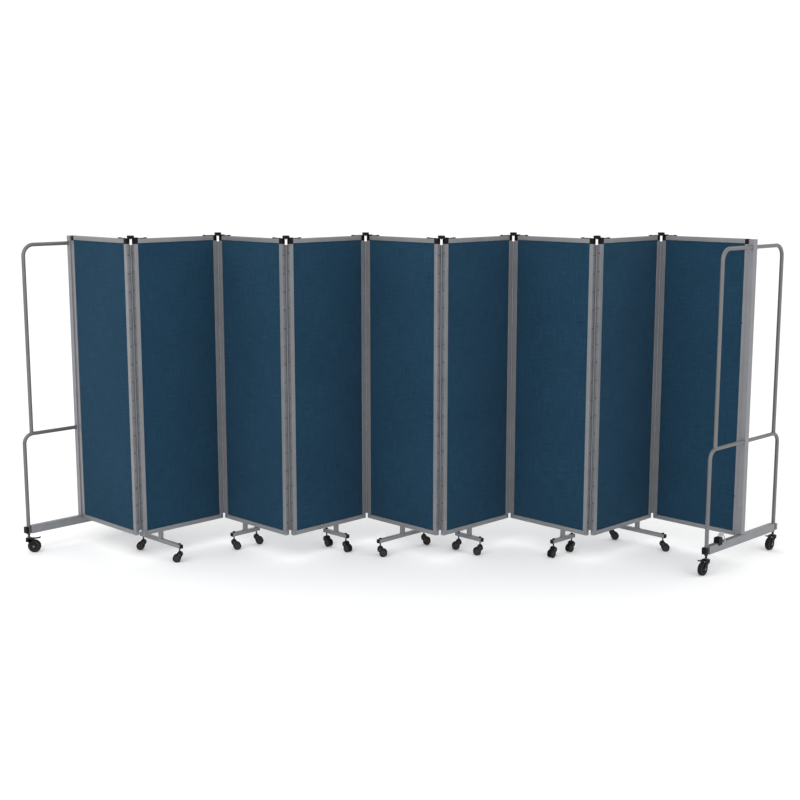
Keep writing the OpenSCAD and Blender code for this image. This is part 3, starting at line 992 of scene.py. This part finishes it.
    def build_straps(self) -> None:
        """Builds the straps on the top rail with their eyes, pads and screws, and the caps."""
        straps = Shape(self.place)
        caps = Shape(self.place)
        low = self.top + SEAM
        thick = self.strap_thick
        rail_y = -(self.depth / 2 + self.pin_offset)
        start = -self.hinge_gap / 2 - self.strap_reach
        cap_low = self.top + 2 * thick + self.eye_gap + 2 * SEAM
        for end in self.ends:
            at = self.hinge_place(end)
            level = 0 if end > 0 else 1
            z = low + level * (thick + self.eye_gap)
            straps.finish = 0
            straps.add(rod(self.eye, z, z + thick, 0.6 * MM, 40), at)
            straps.add(block((self.strap_reach, self.strap_width, thick),
                             (start + self.strap_reach / 2, rail_y, low + thick / 2),
                             0.7 * MM), at)
            straps.add(block((self.eye * 2, -rail_y, thick),
                             (-self.eye, rail_y / 2, z + thick / 2), 0.6 * MM), at)
            if level:
                straps.add(block((self.eye, self.strap_width, z - low + thick),
                                 (-self.eye * 1.5, rail_y, (low + z + thick) / 2),
                                 0.7 * MM), at)
            pad_top = thick + self.pad_proud
            pad = turned([(0.0, 0.0), (self.pad, 0.0), (self.pad, pad_top - 1 * MM),
                          (self.pad - 1.4 * MM, pad_top), (0.0, pad_top)], 32)
            straps.add(pad, at @ Matrix.Translation((start, rail_y, low)))
            straps.finish = 1
            for shift in self.strap_screws:
                rise = thick if shift else pad_top
                straps.add(screw(*STRAP_SCREW),
                           at @ Matrix.Translation((start + shift, rail_y, low + rise)))
            if end < 0:
                high = cap_low + self.cap_height
                shoulder = 3 * MM
                outline = ([(0.0, cap_low), (self.cap - 2 * MM, cap_low),
                            (self.cap, cap_low + 1 * MM)]
                           + arc((self.cap - shoulder, high - shoulder), shoulder, 0.0, 90.0, 5)
                           + [(7 * MM, high), (6 * MM, high - 1.2 * MM),
                              (0.0, high - 1.2 * MM)])
                caps.add(turned(outline, 48), at)
                caps.add(rod(4 * MM, self.top - 3.2 * MM, cap_low + 1 * MM, 0.6 * MM, 20), at)
        straps.piece(f"top_straps_{self.number}", self.body,
                     [self.finishes.black_steel, self.finishes.dark_screw], (self.node,))
        if -1 in self.ends:
            caps.piece(f"pivot_cap_{self.number}", self.body,
                       [self.finishes.black], (self.node,))
        else:
            caps.mesh.free()

    def build_leg(self) -> None:
        """Builds the T-leg with its gussets, end caps, nuts and caster stems."""
        stems = [self.joints.points[f"leg_swivel_{self.number}_{side.word}_turn"]
                 for side in Side]
        inside = self.place.inverted()
        front, rear = (inside @ stem for stem in stems)
        middle_x = (front.x + rear.x) / 2
        reach = (rear.y - front.y) / 2
        half = reach + self.leg_overhang
        tube = self.leg_tube
        low = self.leg_low
        high = low + tube
        at_leg = Matrix.Translation((middle_x, 0.0, 0.0))
        leg = Shape(self.place @ at_leg)
        leg.add(block((tube, tube, self.bottom - high - 2 * SEAM),
                      (0.0, 0.0, (self.bottom + high) / 2), 1.4 * MM))
        leg.add(block((tube, 2 * half, tube), (0.0, 0.0, (low + high) / 2), 1.8 * MM, 3))
        fillet = self.leg_fillet
        outline = ([(0.0, 0.0), (fillet, 0.0)]
                   + arc((fillet, fillet), fillet, 270.0, 180.0, 8)[1:])
        for side in (-1, 1):
            at = (Matrix.Translation((0.0, side * (tube / 2 - 0.3 * MM), high - 0.3 * MM))
                  @ Matrix.Rotation(side * math.pi / 2, 4, "Z")
                  @ Matrix.Rotation(math.pi / 2, 4, "X"))
            leg.add(plate(outline, -8 * MM, 8 * MM, 0.6 * MM), at)
        leg.piece(f"t_leg_{self.number}", self.body, [self.finishes.frame],
                  (self.node,))
        fittings = Shape(self.place @ at_leg)
        for side in (-1, 1):
            fittings.finish = 0
            fittings.add(block((tube, 5 * MM, tube),
                               (0.0, side * (half + 2.5 * MM + SEAM), (low + high) / 2),
                               1.6 * MM, 3))
            at = Matrix.Translation((0.0, side * reach, 0.0))
            nut = turned([(0.0, high + SEAM), (8 * MM, high + SEAM),
                          (8 * MM, high + 4.6 * MM), (6.6 * MM, high + 6.2 * MM),
                          (0.0, high + 6.2 * MM)], 12)
            fittings.add(nut, at)
            fittings.finish = 1
            fittings.add(rod(4 * MM, 50 * MM, high + 6.4 * MM, 0.5 * MM, 20), at)
            fittings.add(rod(6.4 * MM, low - 2.4 * MM, low - SEAM, 0.5 * MM, 6), at)
        fittings.piece(f"leg_fittings_{self.number}", self.body,
                       [self.finishes.black, self.finishes.black_steel], (self.node,))


# ---------------------------------------------------------------- casters


@dataclass
class TwinCaster:
    """A hooded caster with two wheels at one end of a T-leg."""

    panel: int
    side: Side
    joints: Joints
    finishes: Finishes
    trail: float = 17 * MM
    wheel: float = 23 * MM
    wheel_width: float = 9 * MM
    web: float = 6 * MM
    air: float = 0.5 * MM
    head: float = 17 * MM
    head_top: float = 62 * MM
    boss: float = 8.5 * MM
    hood_gap: float = 1.2 * MM
    lap: float = 0.5 * MM

    def __post_init__(self) -> None:
        """Finds the caster's place and the names of its bodies."""
        self.word = f"{self.panel}_{self.side.word}"
        self.place = self.joints.caster(f"leg_swivel_{self.word}_turn",
                                        f"leg_wheels_{self.word}_roll")
        self.axle = (self.trail, self.wheel)
        self.middle = (0.0, self.head_top - self.head)

    def build(self) -> None:
        """Builds the hooded body and the wheel pair."""
        self.build_body()
        self.build_wheels()

    def build_body(self) -> None:
        """Builds the web between the wheels, the hood over them and the stem's collar."""
        shape = Shape(self.place)
        web = tapered(self.middle, self.head, self.axle, self.boss, 20)
        shape.add(plate(web, -self.web, self.web, 0.8 * MM), ACROSS)
        hood = crescent(self.middle, self.head, self.axle, self.wheel + self.hood_gap)
        outer = self.web + self.wheel_width
        for low, high in ((-outer, self.lap - self.web), (self.web - self.lap, outer)):
            shape.add(plate(hood, low, high, 1.3 * MM, 3), ACROSS)
        collar = turned([(0.0, self.head_top - 3 * MM), (8.4 * MM, self.head_top - 3 * MM),
                         (8.0 * MM, self.head_top + 1.2 * MM),
                         (6.4 * MM, self.head_top + 2.2 * MM),
                         (0.0, self.head_top + 2.2 * MM)], 28)
        shape.add(collar)
        shape.finish = 1
        disc = Matrix.Translation((self.middle[0], 0.0, self.middle[1]))
        for side in (-1, 1):
            rim = rod(8.6 * MM, outer - 0.4 * MM, outer + 0.7 * MM, 0.5 * MM, 28)
            shape.add(rim, disc @ Matrix.Rotation(side * math.pi / 2, 4, "X"))
        shape.piece(f"caster_hood_{self.word}", f"leg_caster_{self.word}",
                    [self.finishes.black, self.finishes.hub], (f"leg_swivel_{self.word}",))

    def build_wheels(self) -> None:
        """Builds the two wheels with their treads, dished hubs, ribs and axle."""
        shape = Shape(self.place @ Matrix.Translation((self.axle[0], 0.0, self.axle[1])))
        wide = self.wheel_width
        rim = self.wheel - 5.5 * MM
        tread = [(rim, 0.5 * MM), (self.wheel - 1.6 * MM, 0.0), (self.wheel - 0.5 * MM, 0.6 * MM),
                 (self.wheel, 2 * MM), (self.wheel, wide - 2 * MM),
                 (self.wheel - 0.5 * MM, wide - 0.6 * MM), (self.wheel - 1.6 * MM, wide),
                 (rim, wide - 0.5 * MM)]
        dish = [(0.0, 0.6 * MM), (rim + 0.2 * MM, 0.6 * MM), (rim + 0.2 * MM, wide - 0.8 * MM),
                (rim - 1.6 * MM, wide - 0.9 * MM), (rim - 2.6 * MM, wide - 3.4 * MM),
                (6.6 * MM, wide - 3.8 * MM), (6.0 * MM, wide - 0.8 * MM),
                (4.6 * MM, wide), (0.0, wide)]
        ribs = 6
        for side in (-1, 1):
            at = (Matrix.Rotation(side * math.pi / 2, 4, "X")
                  @ Matrix.Translation((0.0, 0.0, self.web + self.air)))
            shape.finish = 0
            shape.add(turned(tread, 44), at)
            shape.finish = 1
            shape.add(turned(dish, 36), at)
            for k in range(ribs):
                spoke = Matrix.Rotation(math.tau * k / ribs, 4, "Z")
                shape.add(block((9.4 * MM, 2.2 * MM, 3 * MM),
                                (10.6 * MM, 0.0, wide - 3.2 * MM), 0.5 * MM), at @ spoke)
        shape.finish = 2
        shape.add(rod(2.5 * MM, -self.web - 1 * MM, self.web + 1 * MM, 0.3 * MM, 18), ACROSS)
        shape.piece(f"wheel_pair_{self.word}", f"leg_wheel_pair_{self.word}",
                    [self.finishes.tread, self.finishes.hub, self.finishes.steel],
                    (f"leg_wheels_{self.word}",))


@dataclass
class LargeCaster:
    """A braked caster under the base of an end frame."""

    end: End
    side: Side
    joints: Joints
    finishes: Finishes
    trail: float = 30 * MM
    wheel: float = 37.5 * MM
    wheel_width: float = 24 * MM
    crown_top: float = 86 * MM
    crown: float = 32 * MM
    fork_in: float = 14 * MM
    fork_thick: float = 3 * MM
    axle: float = 4 * MM
    pedal_x: float = 25 * MM
    pedal_z: float = 81 * MM
    pedal: float = 42 * MM
    pedal_tilt: float = math.radians(8.0)

    def __post_init__(self) -> None:
        """Finds the caster's place and its part of the node names."""
        self.word = f"{self.end.word}_{self.side.word}"
        self.place = self.joints.caster(f"end_swivel_{self.word}_turn",
                                        f"end_wheel_{self.word}_roll")

    def build(self) -> None:
        """Builds the fork, the wheel and the brake pedal."""
        self.build_fork()
        self.build_wheel()
        self.build_pedal()

    def build_fork(self) -> None:
        """Builds the crown, the two fork arms, the axle bolt and the swivel's nut."""
        shape = Shape(self.place)
        top = self.crown_top
        raceway = [(0.0, top - 6 * MM), (19 * MM, top - 6 * MM), (19 * MM, top - 2 * MM),
                   (17.4 * MM, top - 0.4 * MM), (11 * MM, top), (10.4 * MM, top + 2.2 * MM),
                   (0.0, top + 2.2 * MM)]
        shape.add(turned(raceway, 40))
        outer = self.fork_in + self.fork_thick
        shape.add(block((self.crown - 4 * MM, 2 * outer, 6 * MM),
                        (-2 * MM, 0.0, top - 3 * MM), 1.6 * MM, 3))
        arm = tapered((6 * MM, top - 16 * MM), 12 * MM, (self.trail, self.wheel), 11 * MM, 16)
        ear = tapered((self.pedal_x, self.pedal_z), 5 * MM, (14 * MM, 72 * MM), 7 * MM)
        for low, high in ((-outer, -self.fork_in), (self.fork_in, outer)):
            shape.add(plate(arm, low, high, 0.7 * MM), ACROSS)
            shape.add(plate(ear, low, high, 0.6 * MM), ACROSS)
            shape.add(block((self.crown, self.fork_thick, 22 * MM),
                            (0.0, (low + high) / 2, top - 11 * MM), 1.2 * MM))
        shape.finish = 1
        bolt = self.place @ Matrix.Translation((self.trail, 0.0, self.wheel)) @ ACROSS
        shape.place = bolt
        shape.add(rod(self.axle, -outer - 4 * MM, outer + 4 * MM, 0.6 * MM, 20))
        for sign in (-1, 1):
            shape.add(rod(7 * MM, 0.0, 4 * MM, 0.7 * MM, 6),
                      Matrix.Translation((0.0, 0.0, sign * (outer + 2 * MM) - 2 * MM)))
        shape.place = self.place
        shape.add(rod(10 * MM, top + 1 * MM, top + 6 * MM, 0.8 * MM, 6))
        shape.piece(f"caster_fork_{self.word}", f"end_caster_{self.word}",
                    [self.finishes.black_steel, self.finishes.steel],
                    (f"end_swivel_{self.word}",))

    def build_wheel(self) -> None:
        """Builds the wheel: a rounded tread, a rim, a ribbed web and the hub."""
        shape = Shape(self.place @ Matrix.Translation((self.trail, 0.0, self.wheel)) @ ACROSS)
        half = self.wheel_width / 2
        rim = self.wheel - 8 * MM
        shoulder = 5 * MM
        tread = ([(rim, -half + 1.4 * MM)]
                 + arc((self.wheel - shoulder, -half + shoulder), shoulder, -90.0, 0.0, 5)
                 + arc((self.wheel - shoulder, half - shoulder), shoulder, 0.0, 90.0, 5)
                 + [(rim, half - 1.4 * MM)])
        shape.add(turned(tread, 56))
        shape.finish = 1
        shape.add(turned([(rim - 3.4 * MM, -half + 1 * MM), (rim + 0.2 * MM, -half + 1 * MM),
                          (rim + 0.2 * MM, half - 1 * MM), (rim - 3.4 * MM, half - 1 * MM),
                          (rim - 4.2 * MM, 3 * MM), (rim - 4.2 * MM, -3 * MM)], 48))
        shape.add(turned([(self.axle, -3 * MM), (rim - 3 * MM, -3 * MM),
                          (rim - 3 * MM, 3 * MM), (self.axle, 3 * MM)], 48))
        hub = self.fork_in - 0.5 * MM
        shape.add(turned([(self.axle + 0.05 * MM, -hub), (9 * MM, -hub),
                          (12 * MM, -hub + 2.4 * MM), (12 * MM, hub - 2.4 * MM),
                          (9 * MM, hub), (self.axle + 0.05 * MM, hub)], 36))
        ribs = 8
        for k in range(ribs):
            shape.add(block((15 * MM, 2.4 * MM, self.wheel_width - 5 * MM),
                            (18.2 * MM, 0.0, 0.0), 0.6 * MM),
                      Matrix.Rotation(math.tau * k / ribs, 4, "Z"))
        shape.piece(f"caster_wheel_{self.word}", f"end_wheel_{self.word}_body",
                    [self.finishes.tread, self.finishes.hub], (f"end_wheel_{self.word}",))

    def build_pedal(self) -> None:
        """Builds the brake pedal with its barrel, ribbed plate and toe lip."""
        shape = Shape(self.place @ Matrix.Translation((self.pedal_x, 0.0, self.pedal_z)))
        barrel = self.fork_in - 0.5 * MM
        wide = 2 * barrel - 2 * MM
        shape.add(rod(4 * MM, -barrel, barrel, 0.6 * MM, 20), ACROSS)
        shape.add(rod(2 * MM, -self.fork_in - self.fork_thick, self.fork_in + self.fork_thick,
                      0.3 * MM, 14), ACROSS)
        tilt = Matrix.Rotation(-self.pedal_tilt, 4, "Y")
        shape.add(block((self.pedal, wide, 4 * MM), (self.pedal / 2, 0.0, 1 * MM),
                        1.2 * MM, 3), tilt)
        lip = 5 * MM
        shape.add(block((lip, wide, lip), (self.pedal - lip / 2, 0.0, 3.5 * MM), 1.4 * MM, 3),
                  tilt)
        for k in range(4):
            shape.add(block((2 * MM, wide - 5 * MM, 1.6 * MM),
                            (14 * MM + 6 * MM * k, 0.0, 3.3 * MM), 0.6 * MM), tilt)
        shape.piece(f"brake_pedal_{self.word}", f"end_brake_{self.word}_body",
                    [self.finishes.black], (f"end_brake_{self.word}",))


# ---------------------------------------------------------------- end frames


@dataclass
class EndFrame:
    """The post, the base and the two loops at one end of the wall."""

    end: End
    finishes: Finishes
    half_panel: float = 283 * MM
    post_gap: float = 3 * MM
    post_width: float = 33 * MM
    post_depth: float = 38 * MM
    post_top: float = 1828 * MM
    plane: float = 23 * MM
    tube: float = 11 * MM
    base_low: float = 111 * MM
    base_high: float = 158 * MM
    base_width: float = 32 * MM
    lower_half: float = 358 * MM
    upper_half: float = 310 * MM
    lower_bar: float = 698 * MM
    upper_bar: float = 1785 * MM
    lower_bend: float = 55 * MM
    upper_bend: float = 65 * MM
    bumper: float = 12 * MM
    screw_count: int = 8
    first_screw: float = 230 * MM
    screw_pitch: float = 208 * MM
    spacer_low: float = 176 * MM
    spacer_depth: float = 24 * MM

    def __post_init__(self) -> None:
        """Finds the end frame's place from the last panel's board."""
        last = (Matrix.Translation(board_middle(PANEL_COUNT))
                @ Matrix.Rotation(-PANEL_TURN, 4, "Z")
                @ Matrix.Translation((self.half_panel, 0.0, 0.0)))
        half_turn = Matrix.Rotation(math.pi, 4, "Z")
        self.place = last if self.end is End.RIGHT else half_turn @ last
        self.body = f"panel_{self.end.value}"
        self.node = f"end_frame_{self.end.word}"
        self.at_plane = Matrix.Translation((self.plane, 0.0, 0.0))

    def build(self) -> None:
        """Builds every fixed piece of the end frame."""
        self.build_post()
        self.build_base()
        self.build_loops()
        self.build_bumpers()
        if self.end is End.RIGHT:
            self.build_latch()

    def build_post(self) -> None:
        """Builds the post with its spacer and the screws in its outer face."""
        shape = Shape(self.place)
        low = self.base_high + SEAM
        middle = self.post_gap + self.post_width / 2
        shape.add(block((self.post_width, self.post_depth, self.post_top - low),
                        (middle, 0.0, (self.post_top + low) / 2), 2.2 * MM, 3))
        shape.add(block((self.post_gap, self.spacer_depth, self.post_top - self.spacer_low),
                        (self.post_gap / 2, 0.0, (self.post_top + self.spacer_low) / 2),
                        0.5 * MM))
        shape.finish = 1
        for k in range(self.screw_count):
            z = self.first_screw + k * self.screw_pitch
            face = Matrix.Translation((self.post_gap + self.post_width, 0.0, z))
            shape.add(screw(*POST_SCREW), face @ Matrix.Rotation(math.pi / 2, 4, "Y"))
        shape.piece(f"end_post_{self.end.word}", self.body,
                    [self.finishes.frame, self.finishes.leaf], (self.node,))

    def build_base(self) -> None:
        """Builds the base tube, the caster stems in its ends and their nuts."""
        shape = Shape(self.place @ self.at_plane)
        half = self.lower_half - self.tube - SEAM
        shape.add(block((self.base_width, 2 * half, self.base_high - self.base_low),
                        (0.0, 0.0, (self.base_high + self.base_low) / 2), 3 * MM, 3))
        shape.finish = 1
        for side in (-1, 1):
            at = Matrix.Translation((0.0, side * self.lower_half, 0.0))
            shape.add(rod(6 * MM, 79 * MM, 134 * MM, 0.8 * MM, 24), at)
            shape.add(rod(10.4 * MM, self.base_low - 6 * MM, self.base_low - 0.4 * MM,
                          0.9 * MM, 6), at)
        shape.piece(f"end_base_{self.end.word}", self.body,
                    [self.finishes.frame, self.finishes.black_steel], (self.node,))

    def build_loops(self) -> None:
        """Builds the lower and upper loops, with weld beads where tubes meet."""
        shape = Shape(self.place @ self.at_plane)
        post_face = self.post_depth / 2 + SEAM
        runs = ((self.lower_half, self.base_low, self.lower_bar, self.lower_bend),
                (self.upper_half, self.lower_bar + 2 * MM, self.upper_bar, self.upper_bend))
        bead = [(self.tube - 0.4 * MM, -1.6 * MM), (self.tube + 1.3 * MM, -1.2 * MM),
                (self.tube + 1.5 * MM, 0.4 * MM), (self.tube + 0.7 * MM, 1.6 * MM),
                (self.tube - 0.4 * MM, 1.8 * MM)]
        for side in (UNMOVED, MIRRORED):
            for half, foot, bar, bend in runs:
                tube = bent_tube(self.tube, bar - bend - foot, bend, half - bend - post_face,
                                 28, 16)
                shape.add(tube, side @ Matrix.Translation((0.0, half, foot)))
                joint = Matrix.Translation((0.0, post_face + 1.6 * MM, bar))
                shape.add(turned(bead, 28), side @ joint @ ACROSS)
            shape.add(turned(bead, 28), side @ Matrix.Translation(
                (0.0, self.upper_half, self.lower_bar + self.tube + 1 * MM)))
        shape.piece(f"end_loops_{self.end.word}", self.body,
                    [self.finishes.tube], (self.node,))

    def build_bumpers(self) -> None:
        """Builds the bumpers outside the loops' feet: black in front, grey behind."""
        shape = Shape(self.place @ self.at_plane)
        half = self.base_width / 2 - 1 * MM
        bore = self.tube + SEAM
        near = self.lower_half + 4 * MM
        far = self.lower_half + self.tube + self.bumper
        low, high = self.base_low + 4.5 * MM, self.base_high - 4.5 * MM
        start = math.degrees(math.asin((near - self.lower_half) / bore))
        outline = ([(half, near), (half, far), (-half, far), (-half, near)]
                   + arc((0.0, self.lower_half), bore, 180.0 - start, start, 20))
        rear = UNMOVED if self.end is End.RIGHT else MIRRORED
        for side in (UNMOVED, MIRRORED):
            shape.finish = 1 if side is rear else 0
            shape.add(plate(outline, low, high, 1.6 * MM, 3), side)
            for k in range(3):
                z = (low + high) / 2 + 10 * MM * (k - 1)
                shape.add(block((2 * half - 8 * MM, 2.4 * MM, 4 * MM), (0.0, far, z),
                                0.9 * MM), side)
        shape.piece(f"end_bumpers_{self.end.word}", self.body,
                    [self.finishes.black, self.finishes.frame], (self.node,))

    def build_latch(self) -> None:
        """Builds the ribbed stop block and the round tab on its bowed stem."""
        block_at = -245 * MM
        tall = 31 * MM
        long = 40 * MM
        low = self.base_high + SEAM
        shape = Shape(self.place @ self.at_plane)
        shape.add(block((self.base_width - 5 * MM, long - 2 * MM, tall - 2 * MM),
                        (0.0, block_at, low + tall / 2 - 1 * MM), 2 * MM, 3))
        shape.add(block((self.base_width - 2 * MM, long, 4 * MM),
                        (0.0, block_at, low + 2 * MM), 1 * MM))
        shape.add(block((3.4 * MM, long, tall + 12 * MM),
                        (self.base_width / 2 + 2 * MM, block_at, low + (tall - 12 * MM) / 2),
                        1.2 * MM, 3))
        for k in range(5):
            y = block_at + (k - 2) * 8 * MM
            shape.add(block((self.base_width - 2 * MM, 3.4 * MM, tall), (0.0, y, low + tall / 2),
                            1.2 * MM, 3))
        shape.piece("latch_block", self.body, [self.finishes.black], (self.node,))
        bow = 42 * MM
        tab_at = block_at + long / 2 + 3 * MM
        stem = Shape(self.place @ self.at_plane @ Matrix.Translation((6 * MM, 0.0, 0.0)))
        stem.add(bent_tube(3.5 * MM, 0.5 * MM, bow, 1 * MM, 16, 12),
                 Matrix.Translation((0.0, tab_at + bow, self.base_high)))
        stem.add(turned([(0.0, 0.0), (6 * MM, 0.0), (5.4 * MM, 1.8 * MM), (3.4 * MM, 2.6 * MM),
                         (0.0, 2.6 * MM)], 24),
                 Matrix.Translation((0.0, tab_at + bow, self.base_high)))
        tab = turned([(0.0, -1 * MM), (17 * MM, -1 * MM), (18 * MM, 0.0), (18 * MM, 1.4 * MM),
                      (17 * MM, 2.5 * MM), (14.5 * MM, 2.5 * MM), (13.8 * MM, 1.7 * MM),
                      (0.0, 1.7 * MM)], 44)
        stem.add(tab, Matrix.Translation((0.0, tab_at, self.base_high + bow))
                 @ Matrix.Rotation(math.radians(35.0), 4, "X"))
        stem.piece("latch_tab", self.body, [self.finishes.plain_tab], (self.node,))


# ---------------------------------------------------------------- studio


@dataclass
class Studio:
    """The pale floor, the soft lights and the camera."""

    eye: tuple[float, float, float] = (-0.0051, -7.5824, 2.1933)
    tilt: float = math.radians(80.29)
    pan: float = math.radians(0.07)
    lens: float = 60.06
    sensor: float = 36.0
    floor_half: float = 30.0
    sky: float = 1.06

    def build(self) -> None:
        """Builds the studio."""
        scene = bpy.context.scene
        scene.view_settings.view_transform = "Standard"
        self.build_camera(scene)
        self.build_sky(scene)
        self.build_floor()
        self.build_light("key_light", (-3.2, -5.0, 4.6), (0.0, 0.0, 0.8), 3.6, 105.0)
        self.build_light("fill_light", (4.2, -4.4, 2.4), (0.0, 0.0, 0.9), 3.0, 30.0)

    def build_camera(self, scene: bpy.types.Scene) -> None:
        """Builds the camera and makes it the scene's own."""
        data = bpy.data.cameras.new("camera")
        data.lens = self.lens
        data.sensor_width = self.sensor
        camera = bpy.data.objects.new("camera", data)
        camera.location = self.eye
        camera.rotation_euler = (self.tilt, 0.0, self.pan)
        scene.collection.objects.link(camera)
        scene.camera = camera

    def build_sky(self, scene: bpy.types.Scene) -> None:
        """Gives the scene an even white sky."""
        world = bpy.data.worlds.new("soft_sky")
        world.use_nodes = True
        sky = world.node_tree.nodes["Background"]
        sky.inputs["Color"].default_value = WHITE
        sky.inputs["Strength"].default_value = self.sky
        scene.world = world

    def build_floor(self) -> None:
        """Builds the floor, which isn't part of the wall."""
        shell = bmesh.new()
        bmesh.ops.create_grid(shell, x_segments=1, y_segments=1, size=self.floor_half)
        mesh = bpy.data.meshes.new("floor")
        shell.to_mesh(mesh)
        shell.free()
        material, wiring, shader = new_material("pale_floor")
        wiring.feed(shader, {"Base Color": (0.98, 0.98, 0.98, 1.0), "Roughness": 0.9,
                             "Specular IOR Level": 0.1, "Emission Color": WHITE,
                             "Emission Strength": 0.06})
        mesh.materials.append(material)
        floor = bpy.data.objects.new("floor", mesh)
        bpy.context.scene.collection.objects.link(floor)

    def build_light(self, name: str, place: tuple[float, float, float],
                    aim: tuple[float, float, float], size: float, power: float) -> None:
        """Builds a square soft light.

        Args:
            name: Its name.
            place: Where it hangs.
            aim: What it faces.
            size: The length of its side.
            power: Its power in watts.
        """
        data = bpy.data.lights.new(name, "AREA")
        data.size = size
        data.energy = power
        light = bpy.data.objects.new(name, data)
        light.location = place
        light.rotation_euler = (Vector(aim) - Vector(place)).to_track_quat("-Z", "Y").to_euler()
        bpy.context.scene.collection.objects.link(light)


def main() -> None:
    """Builds the wall and its studio."""
    logging.basicConfig(level=logging.INFO, format="%(name)s: %(message)s")
    for item in list(bpy.data.objects):
        bpy.data.objects.remove(item)
    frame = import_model()
    joints = Joints(frame["joints"])
    Studio().build()
    finishes = Finishes()
    for number in range(1, PANEL_COUNT + 1):
        Panel(number, joints, finishes).build()
    for number in range(2, PANEL_COUNT):
        for side in Side:
            TwinCaster(number, side, joints, finishes).build()
    for end in End:
        EndFrame(end, finishes).build()
        for side in Side:
            LargeCaster(end, side, joints, finishes).build()


if __name__ == "__main__":
    main()
